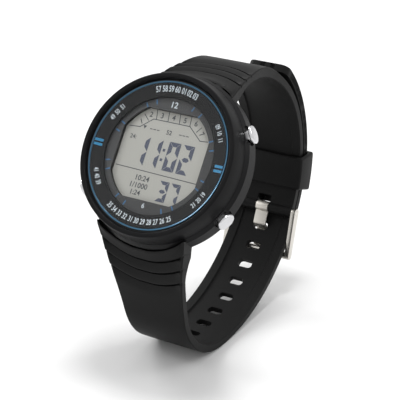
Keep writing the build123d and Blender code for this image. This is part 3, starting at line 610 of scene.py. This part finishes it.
def markHoleCorners(strap, rowPlaces, holes, half):
    # corner edges through the holes get a weight for the bevel
    ends = sum(holes, ())
    cornerRows = [row for row, at in enumerate(rowPlaces) if any(abs(at - end) < nearly for end in ends)]
    pick(strap)
    bpy.ops.object.mode_set(mode="EDIT")
    edited = bmesh.from_edit_mesh(strap.data)
    weight = edited.edges.layers.float.new("bevel_weight_edge")
    for edge in edited.edges:
        top, foot = edge.verts
        upright = abs(top.co.z - foot.co.z) > 0.5
        inside = round(top.co.x) in (half - 1, half) and abs(top.co.x - round(top.co.x)) < nearly
        if upright and inside and round(top.co.y) in cornerRows and len(edge.link_faces) == 2:
            edge[weight] = 1.0
    bmesh.update_edit_mesh(strap.data)
    endEdit()


def faceDepth(plan, row, x, widest, along, outerFace):
    # how deep in the strap a point of one of its two faces lies
    fromEdge = widest - abs(x)
    depth = strapLook["thickness"] if outerFace else 0.0
    if outerFace:
        band = clamped((fromEdge - strapLook["edgeBand"] + strapLook["bandSlope"]) / strapLook["bandSlope"])
        depth -= row["drop"] * (ribLook["endDepth"] + (1 - ribLook["endDepth"]) * band)
        depth -= strapLook["crown"] * (abs(x) / widest) ** strapLook["crownBend"]
        depth -= strapLook["edgeDrop"] if fromEdge < nearly else 0
    else:
        channelFrom = strapLook["channelRim"] + strapLook["channelSlope"] / 2
        inChannel = fromEdge > channelFrom and along < plan["channelEnd"]
        depth += strapLook["channelDepth"] if inChannel else 0
        depth += strapLook["wristEdgeDrop"] if fromEdge < nearly else 0
    return plan["swell"](along, depth, outerFace)


def buildStrap(name, line, plan):
    # a flat grid, 1 from row to row and from column to column, that is then laid along the line
    rows = strapRows(line, plan)
    rowPlaces = [row["along"] for row in rows]
    half, last = len(columnPlaces(plan["inner"], strapLook["halfWidth"])), len(rows) - 1
    bpy.ops.mesh.primitive_grid_add(
        x_subdivisions=2 * half - 1, y_subdivisions=last, size=1, location=(half - 0.5, last / 2, 0),
    )
    strap = bpy.context.object
    strap.name = name
    strap.scale = (2 * half - 1, last, 1)
    settle(strap)

    def inHole(face):
        # the holes, and the notch for the tongue, are in the middle column
        centre = face.calc_center_median()
        middle = (rowPlaces[int(centre.y)] + rowPlaces[int(centre.y) + 1]) / 2
        return half - 1 < centre.x < half and any(low < middle < high for low, high in plan["holes"])

    editParts(strap, "FACE", inHole)
    bpy.ops.mesh.delete(type="FACE")
    endEdit()
    applyModifier(strap, "SOLIDIFY", {"thickness": 1, "offset": -1})
    if "holeCorner" in plan:
        markHoleCorners(strap, rowPlaces, plan["holes"], half)
    middleAlong = alongAt(line, strapLook["thickness"], rows[-1]["reach"])
    for vertex in strap.data.vertices:
        outerFace = vertex.co.z > -0.5
        row = rows[round(vertex.co.y)]
        hand = 1 if vertex.co.x > half - 0.5 else -1
        column = round(abs(vertex.co.x - half + 0.5) - 0.5)
        along = row["along"]
        level = strapLook["thickness"] if outerFace else 0.0
        for step in range(strapLook["bowSteps"] if row["bow"] > 0 else 1):
            # the width depends on where the bowed row has come to
            widest = plan["width"](line, along)
            x = columnPlaces(plan["inner"], widest)[column]
            if row["bow"] > 0:
                there = alongAt(line, level, math.sqrt(row["reach"] ** 2 - x ** 2))
                along = there if row["bow"] == 1 else row["along"] + row["bow"] * (there - middleAlong)
        place = linePoint(line, along, faceDepth(plan, row, x, widest, along, outerFace))
        vertex.co = Vector((hand * x + plan["shift"](line, row["along"]), place.x, place.y)) * mm
    cleanMesh(strap, mergeWithin["strap"], recalculate=False)
    if "holeCorner" in plan:
        settings = {"width": plan["holeCorner"] * mm, "segments": 4, "limit_method": "WEIGHT"}
        applyModifier(strap, "BEVEL", settings)
    return strap


wrapLook = {
    "centre": (3.7585, 43.9545), "radius": 32.9,               # the upper strap round the wrist
    "longRadius": 35.45, "seatRadius": 50.0, "seatSweep": 55,  # the lower strap over it, and under the wrist
}
longLook = {
    # where the wrist face starts in the side view, its heading, and the side on which the outer face is
    "start": (-35.7959, 46.4991), "heading": 277, "outer": -1,
    "stretches": [
        (0, 4.2), (78, 8), (0, 14.4993), (20.6982, 75), (0, 1.3),
        (wrapLook["seatRadius"], wrapLook["seatSweep"]), (wrapLook["longRadius"], 43), (40, 41),
    ],
    "taper": (20, 52),
}
longLine = layLine(longLook)
seatFrom, backFrom = longLine["laid"][5]["from"], longLine["laid"][6]["from"]
tipLook = {
    # one edge runs in over the last 26 mm of height, and would go on for 2 mm past the tip
    "width": 13.0, "taper": 26.0, "over": 2, "corner": 2.5, "rows": (2.4, 1.5, 0.8, 0.3), "channelStop": 7,
}
tipPlace = linePoint(longLine, longLine["length"], strapLook["thickness"] / 2)


def longBand(line, along):
    # half of the strap's width there, with the tip's corners still square
    place = linePoint(line, along, strapLook["thickness"])
    if along < seatFrom:
        return taper(dialPlace["centre"][2] - place.y, longLook["taper"])
    left = -strapLook["halfWidth"]
    share = (place.y - tipPlace.y + tipLook["taper"]) / (tipLook["taper"] + tipLook["over"])
    if along > backFrom and share > 0:
        left = bend(left, left, strapLook["halfWidth"] - tipLook["width"], min(share, 1))
    return (strapLook["halfWidth"] - left) / 2


def longWidth(line, along):
    inside = tipLook["corner"] - (line["length"] - along)
    taken = tipLook["corner"] - math.sqrt(max(tipLook["corner"] ** 2 - inside ** 2, 0)) if inside > 0 else 0
    return longBand(line, along) - taken


def longShift(line, along):
    # where the middle of the strap is once one edge has started to taper
    return strapLook["halfWidth"] - longBand(line, along) if along >= seatFrom else 0.0


holeLook = {
    "length": 2.6, "halfWidth": 2.35, "corner": 1.0, "pitch": 6.8, "firstAngle": 50.3, "below": 8, "above": 4,
}
midSeat, midWrap = (wrapLook[key] + strapLook["thickness"] / 2 for key in ("seatRadius", "longRadius"))
longHoles = []
for count in range(holeLook["below"]):
    turned = math.radians(holeLook["firstAngle"]) - count * holeLook["pitch"] / midSeat
    longHoles.append(seatFrom + wrapLook["seatRadius"] * turned)
seatLeft = math.radians(wrapLook["seatSweep"] - holeLook["firstAngle"]) * midSeat
for count in range(holeLook["above"]):
    turned = ((count + 1) * holeLook["pitch"] - seatLeft) / midWrap
    longHoles.append(backFrom + wrapLook["longRadius"] * turned)
holeSpans = sorted((place - holeLook["length"] / 2, place + holeLook["length"] / 2) for place in longHoles)

rootLook = {"from": 8.0, "to": 15.0, "long": 2.6, "short": 0.8, "bend": 1.5}


def rootDepth(along, depth, outerFace, swell=rootLook["long"]):
    # the wrist face swells into the root, under the case
    share = clamped((rootLook["to"] - along) / (rootLook["to"] - rootLook["from"]))
    return depth if outerFace else depth - swell * share ** rootLook["bend"]


longPlan = {
    "ribs": (27.2, 29.8, 32.4), "lastRamp": 2.6, "ribSlope": 0.5, "inner": holeLook["halfWidth"],
    "marks": [*sum(holeSpans, ()), *(longLine["length"] - step for step in tipLook["rows"])],
    "holes": holeSpans, "holeCorner": holeLook["corner"],
    "channelEnd": longLine["length"] - tipLook["channelStop"],
    "width": longWidth, "shift": longShift, "swell": rootDepth,
}
longStrap = buildStrap("longStrapMoulding", longLine, longPlan)

barrelLook = {
    "radius": 1.6, "pinInset": 0.8, "turns": (-90, -60, -30, 0, 30, 50, 70, 82),
    "notchHalfWidth": 2.25, "notchLength": 3.6,
}
humpLook = {"top": 27.0, "reach": 12.0, "rise": 0.75}  # the face stands fuller up to the long strap's tip
shortLook = {
    "start": (-14.07, 75.3782), "heading": 12, "outer": 1,
    "stretches": [
        (0, 6.0053), (48, -12), (35.689, -45), (wrapLook["radius"], -77), (0, barrelLook["radius"]),
    ],
    "taper": (15, 52), "channelSweep": 45,
}
shortLine = layLine(shortLook)
wrapFrom = shortLine["laid"][3]["from"]
pinAlong = shortLine["length"] - barrelLook["radius"]


def shortWidth(line, along):
    place = linePoint(line, along, strapLook["thickness"])
    if along > wrapFrom:
        return strapLook["halfWidth"]
    return taper(place.x - dialPlace["centre"][1], shortLook["taper"])


def barrelDepth(along, depth, outerFace):
    # the outer face is fuller halfway, and the end swells into a barrel round the buckle's pin
    past = along - pinAlong
    if abs(past) > barrelLook["radius"]:
        share = clamped((humpLook["reach"] - abs(along - humpLook["top"])) / humpLook["reach"])
        raised = depth + humpLook["rise"] * share ** 2 * (3 - 2 * share)
        return rootDepth(along, raised if outerFace else depth, outerFace, rootLook["short"])
    bulge = math.sqrt(max(barrelLook["radius"] ** 2 - past ** 2, 0))
    face = barrelLook["pinInset"] + (bulge if outerFace else -bulge)
    if not outerFace:
        return face if past > 0 else min(face, depth)
    return max(face, depth) if past < 0 else face


notchStart = pinAlong - barrelLook["notchLength"]
barrelRows = [pinAlong + barrelLook["radius"] * math.sin(math.radians(turn)) for turn in barrelLook["turns"]]
shortPlan = {
    "ribs": (28.1, 30.2, 32.1), "lastRamp": 2.4, "ribSlope": 0.3, "inner": barrelLook["notchHalfWidth"],
    "marks": [notchStart] + barrelRows, "holes": [(notchStart, shortLine["length"] + 1)],
    "channelEnd": wrapFrom + wrapLook["radius"] * math.radians(shortLook["channelSweep"]),
    "width": shortWidth, "shift": lambda line, along: 0.0, "swell": barrelDepth,
}
shortStrap = buildStrap("shortStrapMoulding", shortLine, shortPlan)

headLook = {"overlap": 0.4, "end": 13.2}  # how deep in the strap and how far along it the root is cut off


def strapHead(node, line):
    # the root that grips the bar: the solid's own end, cut off where the strap takes over
    head = mergedCopy(node, "strapHead")
    start = linePoint(line, 0, 0)
    ahead, outward = linePoint(line, 1, 0) - start, linePoint(line, 0, 1) - start
    cuts = ((linePoint(line, 0, headLook["overlap"]), outward), (linePoint(line, headLook["end"], 0), ahead))
    for place, normal in cuts:
        editParts(head, "VERT")
        bpy.ops.mesh.bisect(
            plane_co=(0, place.x * mm, place.y * mm), plane_no=(0, normal.x, normal.y),
            use_fill=True, clear_outer=True,
        )
        endEdit()
    return head


for strap, node, line in ((longStrap, "long_strap", longLine), (shortStrap, "short_strap", shortLine)):
    joinAll([strap, strapHead(node, line)], strap.name)
    finishPiece(strap, "watch", "strap_rubber", smoothAngle=38)
    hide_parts(node)
print("straps done:", len(longStrap.data.polygons) + len(shortStrap.data.polygons), "faces")


# the keeper, spun round the wrap from a flat ring

keeperLook = {
    "topAngle": -1.5, "sweep": 18.0, "inner": 32.6, "outer": 38.05, "halfWidth": 10.2, "wall": 1.3,
    "steps": 10, "edge": 0.75, "sharpAngle": 50,
}
wallWide = keeperLook["halfWidth"] + keeperLook["wall"]
wallLow, wallHigh = keeperLook["inner"] - keeperLook["wall"], keeperLook["outer"] + keeperLook["wall"]
bpy.ops.mesh.primitive_plane_add(size=1, location=(0, (wallLow + wallHigh) / 2 * mm, 0))
keeper = bpy.context.object
keeper.name = "keeperLoop"
keeper.scale = (2 * wallWide * mm, (wallHigh - wallLow) * mm, 1)
settle(keeper)
editParts(keeper, "FACE")
bpy.ops.mesh.inset(thickness=keeperLook["wall"] * mm, use_even_offset=True)
bpy.ops.mesh.delete(type="FACE")
endEdit()
wrapCentre = Vector((0, *wrapLook["centre"])) * mm
settle(keeper, Matrix.Translation(wrapCentre) @ rotated(keeperLook["topAngle"], "X"))
editParts(keeper, "FACE")
bpy.ops.mesh.spin(
    steps=keeperLook["steps"], angle=math.radians(keeperLook["sweep"]), center=wrapCentre, axis=(1, 0, 0),
)
endEdit()
cleanMesh(keeper, mergeWithin["solid"])
bevelSharp(keeper, keeperLook["edge"], 4, keeperLook["sharpAngle"])
finishPiece(keeper, "keeper_loop", "strap_rubber")
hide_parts("keeper")
print("keeper done:", len(keeper.data.polygons), "faces")


# the buckle's metal, softened: the solids' edges are broken as a polishing wheel leaves them

buckleLook = {
    "flatAngle": 0.5, "sharpAngle": 40,
    # node, piece, body, width of the edge and finish
    "pieces": [
        ("buckle_frame", "buckleFramePolished", "buckle", 0.5, "buckleSteel"),
        ("buckle_tongue", "buckleTonguePolished", "tongue", 0.25, "tongueSatinSteel"),
    ],
}
for node, name, body, edge, finish in buckleLook["pieces"]:
    piece = mergedCopy(node, name)
    editParts(piece, "VERT")
    bpy.ops.mesh.dissolve_limited(angle_limit=math.radians(buckleLook["flatAngle"]))
    endEdit()
    bevelSharp(piece, edge, 3, buckleLook["sharpAngle"])
    finishPiece(piece, body, "buckle_steel", finish, smoothAngle=buckleLook["sharpAngle"])
    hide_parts(node)
print("buckle done")


# the case back's screws: pan heads with a cross slot, one made and copied

screwLook = {
    "profile": [(0, -0.3), (0.605, -0.3), (0.605, 0), (1.1, 0), (1.1, 0.35, 0.22, 4), (0, 0.35)],
    "slot": (1.5, 0.34, 0.4), "circle": 18.8, "level": -11.4, "angles": (45, 135, 225, 315), "steps": 32,
}
screw = spinProfile("backScrew", screwLook)
for turn in (0, 90):
    bpy.ops.mesh.primitive_cube_add(size=1, location=(0, 0, screwLook["profile"][-1][1] * mm))
    slotCutter = bpy.context.object
    slotCutter.scale = Vector(screwLook["slot"]) * mm
    settle(slotCutter)
    slotCutter.data.transform(rotated(turn))
    applyModifier(screw, "BOOLEAN", {"operation": "DIFFERENCE", "solver": "EXACT", "object": slotCutter})
    bpy.data.objects.remove(slotCutter)
seat = Matrix.Translation((screwLook["circle"] * mm, 0, screwLook["level"] * mm))
heads = []
for angle in screwLook["angles"]:
    heads.append(copyOf(screw, "backScrew", dialMatrix @ rotated(angle) @ seat @ rotated(180, "X")))
bpy.data.objects.remove(screw)
screws = joinAll(heads, "caseBackScrews")
finishPiece(screws, "watch", "back_steel", "screwSteel")
print("case back screws done")


# print on the dial and the display, in mm on the dial's own plane

printLook = {
    "film": 0.02, "levels": {"dial_plastic": -1.4, "display_glass": -2.7},  # from the blue ring's top
    "ring": {"level": -0.1, "radius": 20.2, "width": 3.8, "dish": 0.5},  # the ring slopes down to the dial
    "barPoint": 0.05, "barCorner": 0.12, "capHeight": 0.72, "boldness": 0.02, "curveSteps": 3,
}


def plainBar(length, width):
    bpy.ops.mesh.primitive_plane_add(size=1)
    bar = bpy.context.object
    bar.scale = (length * mm, width * mm, 1)
    settle(bar)
    return bar


def pointedBar(length, width):
    # one bar of print with pointed ends, lying along X about the middle
    bar = plainBar(length - width, width)
    for hand in (-1, 1):
        editParts(bar, "EDGE", lambda edge: all(v.co.x * hand > 0 for v in edge.verts))
        bpy.ops.mesh.extrude_region_move(TRANSFORM_OT_translate={"value": (hand * width / 2 * mm, 0, 0)})
        bpy.ops.transform.resize(value=(1, printLook["barPoint"], 1))
        endEdit()
    return bar


def mitredBar(length, width):
    # one bar along X whose ends are cut at 45 degrees, so that it is shorter on its -Y side
    bar = plainBar(length, width)
    editParts(bar, "EDGE", lambda edge: all(v.co.y < 0 for v in edge.verts))
    bpy.ops.transform.resize(value=((length - 2 * width) / length, 1, 1))
    endEdit()
    return bar


def roundedBar(length, width):
    bar = plainBar(length, width)
    editParts(bar, "FACE")
    bpy.ops.mesh.bevel(offset=min(length, width) * printLook["barCorner"] * mm, affect="VERTICES", segments=2)
    endEdit()
    return bar


def flatPlace(x, y, turn=0.0):
    return Matrix.Translation((x * mm, y * mm, 0)) @ rotated(turn)


def around(radius, angle):
    # the place that far from the dial's middle, in degrees from 3 o'clock
    return radius * math.cos(math.radians(angle)), radius * math.sin(math.radians(angle))


def copiesAt(bar, places):
    # one copy at each place, and the pattern for them is thrown away
    copies = [copyOf(bar, bar.name, flatPlace(*place)) for place in places]
    bpy.data.objects.remove(bar)
    return copies


def flatText(words, height, x, y, turn=0.0, squeeze=1.0):
    # flat letters with their middle at that place
    bpy.ops.object.text_add()
    letters = bpy.context.object
    letters.data.body = words
    letters.data.align_x = "CENTER"
    letters.data.align_y = "CENTER"
    letters.data.size = height / printLook["capHeight"] * mm
    letters.data.resolution_u = printLook["curveSteps"]
    letters.data.offset = height * printLook["boldness"] * mm
    pick(letters)
    bpy.ops.object.convert(target="MESH")
    shape = bpy.context.object
    middle = (Vector(shape.bound_box[0]) + Vector(shape.bound_box[6])) / 2
    centred = Matrix.Diagonal((squeeze, 1, 1, 1)) @ Matrix.Translation((-middle.x, -middle.y, 0))
    shape.data.transform(flatPlace(x, y, turn) @ centred)
    return shape


def printLevel(slot, radius):
    # how high the printed face is, from the blue ring's top
    ring = printLook["ring"]
    if slot == "ring_plastic":
        return ring["level"] - ring["dish"] * (ring["radius"] - radius) / ring["width"]
    return printLook["levels"][slot]


def layPrint(pieces, name, finish, slot):
    # thickens the print a little, sets it on its surface and tips it onto the dial
    printed = joinAll(pieces, name)
    applyModifier(printed, "SOLIDIFY", {"thickness": printLook["film"] * mm, "offset": 1})
    for vertex in printed.data.vertices:
        radius = math.hypot(vertex.co.x, vertex.co.y) / mm
        vertex.co.z = abs(vertex.co.z) + printLevel(slot, radius) * mm
    settle(printed, dialMatrix)
    finishPiece(printed, "watch", slot, finish)


segmentsOf = {"0": "abcdef", "1": "bc", "2": "abged", "3": "abgcd", "7": "abc"}
digitLook = {
    "gap": 0.08,
    "time": {"values": [("1", -8.3, 3.5), ("1", -4.2, 3.5), ("0", 1.25, 3.6), ("2", 5.6, 3.5)],
             "bottom": -3.35, "height": 8.1, "stroke": 1.2},
    "seconds": {"values": [("3", 2.0, 3.0), ("7", 5.5, 3.0)], "bottom": -11.8, "height": 5.7, "stroke": 0.98},
    "colon": [(0.2, 2.1), (0.2, -0.6)], "colonSize": 0.75,
}


def digitBars(value, left, width, look):
    # seven bars: a top, b and c right, d bottom, e and f left, g middle
    gap, height, stroke = digitLook["gap"], look["height"], look["stroke"]
    tallBar = mitredBar(height / 2 - gap, stroke)
    wideBar = mitredBar(width - 2 * gap, stroke)
    innerBar = pointedBar(width - stroke - 2 * gap, stroke)
    middle, centre = left + width / 2, look["bottom"] + height / 2
    side, quarter, end = (width - stroke) / 2, height / 4, (height - stroke) / 2
    places = {
        "a": (wideBar, 0, end, 0), "g": (innerBar, 0, 0, 0), "d": (wideBar, 0, -end, 180),
        "b": (tallBar, side, quarter, -90), "c": (tallBar, side, -quarter, -90),
        "f": (tallBar, -side, quarter, 90), "e": (tallBar, -side, -quarter, 90),
    }
    made = []
    for letter in segmentsOf[value]:
        bar, x, y, turn = places[letter]
        made.append(copyOf(bar, "segment", flatPlace(middle + x, centre + y, turn)))
    for bar in (tallBar, wideBar, innerBar):
        bpy.data.objects.remove(bar)
    return made


driven = []
for look in (digitLook["time"], digitLook["seconds"]):
    for value, left, width in look["values"]:
        driven += digitBars(value, left, width, look)
driven += copiesAt(roundedBar(digitLook["colonSize"], digitLook["colonSize"]), digitLook["colon"])
layPrint(driven, "displayDigits", "displaySegment", "display_glass")

markLook = {
    "lineWidth": 0.22,
    "dayLine": [(-12.4, 6.8), (-9.2, 7.0), (-5.8, 9.85), (5.6, 9.9), (9.85, 6.6), (12.1, 6.8)],
    "dividers": [
        ((-8.94, 10.68), (-7.27, 9.2)), ((-5.49, 12.5), (-4.97, 9.93)), ((-1.7, 12.58), (-1.36, 10.06)),
        ((1.81, 12.47), (2.21, 10.12)), ((5.31, 12.43), (5.53, 9.92)), ((9.09, 10.16), (8.02, 8.78)),
        ((-12.7, -4.5), (12.7, -4.9)),
    ],
    "days": [
        (-9.3, 8.6, 32), (-6.9, 11.0), (-3.5, 11.2), (0.1, 11.3), (3.7, 11.2), (7.2, 11.0), (9.8, 8.5, -38),
    ],
    "dayHeight": 1.5, "dashes": [-5.6, -4.5, -3.4, 3.6, 4.7, 5.8], "dashY": 7.05, "dashHalf": 0.3,
    "rows": [("10:24", 1.5, -3.45, -6.65), ("1/1000", 1.5, -3.9, -8.75), ("1:24", 1.4, -4.3, -10.75),
             ("24:", 1.2, -10.3, 4.1), ("52", 1.25, 0.1, 7.05)],
    "pointer": (-7.7, 7.35, 180), "pointerSize": 0.62,
}


def printedLine(start, end):
    a, b = Vector(start), Vector(end)
    bar = roundedBar((b - a).length + markLook["lineWidth"], markLook["lineWidth"])
    bar.data.transform(flatPlace(*(a + b) / 2, math.degrees(math.atan2(b.y - a.y, b.x - a.x))))
    return bar


dashY, dashHalf = markLook["dashY"], markLook["dashHalf"]
lines = list(zip(markLook["dayLine"], markLook["dayLine"][1:])) + markLook["dividers"]
marks = [printedLine(start, end) for start, end in lines]
marks += [flatText(str(day), markLook["dayHeight"], *where) for day, where in enumerate(markLook["days"], 1)]
marks += [printedLine((x - dashHalf, dashY), (x + dashHalf, dashY)) for x in markLook["dashes"]]
marks += [flatText(*row) for row in markLook["rows"]]
bpy.ops.mesh.primitive_circle_add(vertices=3, radius=markLook["pointerSize"] * mm, fill_type="NGON")
pointer = bpy.context.object
pointer.data.transform(flatPlace(*markLook["pointer"]))
layPrint(marks + [pointer], "displayMarks", "displayMask", "display_glass")
print("display done")

ringLook = {
    "groups": [(range(57, 64), 18.6, 1.7), (range(9, 12), 18.5, 1.4), (range(49, 52), 18.5, 1.4),
               (range(25, 36), 18.4, 1.55), (range(19, 22), 18.4, 1.4), (range(39, 42), 18.4, 1.4)],
    "squeeze": 0.68, "barRadii": (17.5, 20.05), "barY": (-0.62, 0.62), "barWidth": 0.72,
}
numbers = []
for minutes, radius, height in ringLook["groups"]:
    for minute in minutes:
        angle = 90 - 6 * minute
        upright = angle - 90 if math.sin(math.radians(angle)) > 0 else angle + 90
        words = f"{(minute - 1) % 60 + 1:02d}"
        numbers.append(flatText(words, height, *around(radius, angle), upright, ringLook["squeeze"]))
layPrint(numbers, "minuteNumbers", "silverPrint", "ring_plastic")

inner, outer = ringLook["barRadii"]
places = [(hand * (inner + outer) / 2, y) for hand in (-1, 1) for y in ringLook["barY"]]
bars = copiesAt(roundedBar(outer - inner, ringLook["barWidth"]), places)
layPrint(bars, "ringBars", "bluePrint", "ring_plastic")

plateLook = {
    "ticks": (17, 26.5, -15, -24.5, 163, 153.5, 195, 204.5, 68.5, 111.5, 57.5, 122.5, -68, -112, -56, -124),
    "radii": (14.75, 16.15), "tickWidth": 0.34, "hours": [("12", 1.7, 0, 14.5), ("6", 1.35, 0, -13.95)],
}
inner, outer = plateLook["radii"]
places = [(*around((inner + outer) / 2, angle), angle) for angle in plateLook["ticks"]]
ticks = copiesAt(roundedBar(outer - inner, plateLook["tickWidth"]), places)
layPrint(ticks, "plateTicks", "blueTickPrint", "dial_plastic")
layPrint([flatText(*hour) for hour in plateLook["hours"]], "plateNumbers", "silverPrint", "dial_plastic")
print("dial print done")


# stage: pale floor, soft light, and the camera at the photograph's place

stageLook = {"floorSize": 6.0, "floor": ("#dcdcdc", "#dedede"), "speck": 25, "roughness": 0.8, "sky": 0.86}
bpy.ops.mesh.primitive_plane_add(size=stageLook["floorSize"])
floor = bpy.context.object
floor.name = "paleFloor"
floorMaterial, tree = newTree("mattePaleCard")  # plain card, quite matte, so that shadows stay soft
place = addNode(tree, "TexCoord").outputs["Object"]
speck = addNode(tree, "TexNoise", {"Scale": 1 / (stageLook["speck"] * mm)}, {"Vector": place}).outputs[0]
first, second = stageLook["floor"]
colour = addNode(
    tree, "Mix", {"data_type": "RGBA", 6: linear(first), 7: linear(second)}, {0: speck},
).outputs[2]
shader = addNode(tree, "BsdfPrincipled", {"Roughness": stageLook["roughness"]}, {"Base Color": colour})
addNode(tree, "OutputMaterial", {}, {"Surface": shader.outputs[0]})
floor.data.materials.append(floorMaterial)

world = bpy.data.worlds.new("paleStudio")
bpy.context.scene.world = world
world.use_nodes = True
sky = world.node_tree.nodes["Background"].inputs
sky["Color"].default_value = (1, 1, 1, 1)
sky["Strength"].default_value = stageLook["sky"]

lights = [
    # name, place and size in metres, and power in watts
    ("topSoftbox", (0.0, 0.05, 0.9), 0.24, 3.6), ("leftSoftbox", (-0.75, 0.3, 0.5), 0.4, 3),
    ("rightStrip", (0.6, 0.3, 0.6), 0.3, 1), ("dialSoftbox", (-0.82, -0.42, 0.75), 0.22, 1.5),
]
aim = Vector((0, -0.005, 0.045))
for name, place, size, power in lights:
    bpy.ops.object.light_add(type="AREA", location=place)
    lamp = bpy.context.object
    lamp.name = name
    lamp.data.shape = "DISK"
    lamp.data.size = size
    lamp.data.energy = power
    lamp.rotation_mode = "QUATERNION"
    lamp.rotation_quaternion = (aim - Vector(place)).to_track_quat("-Z", "Y")

cameraLook = {
    "place": (0.185947, -0.319407, 0.206634), "ahead": (-0.46585, 0.78417, -0.40996),
    "lens": 126, "sensor": 36, "nearest": 0.01,
}
bpy.ops.object.camera_add(location=cameraLook["place"])
camera = bpy.context.object
camera.name = "photoCamera"
camera.data.lens = cameraLook["lens"]
camera.data.sensor_width = cameraLook["sensor"]
camera.data.clip_start = cameraLook["nearest"]
camera.rotation_mode = "QUATERNION"
camera.rotation_quaternion = Vector(cameraLook["ahead"]).to_track_quat("-Z", "Y")
bpy.context.scene.camera = camera
bpy.context.scene.view_settings.view_transform = "Standard"  # white card stays white
print("stage done")
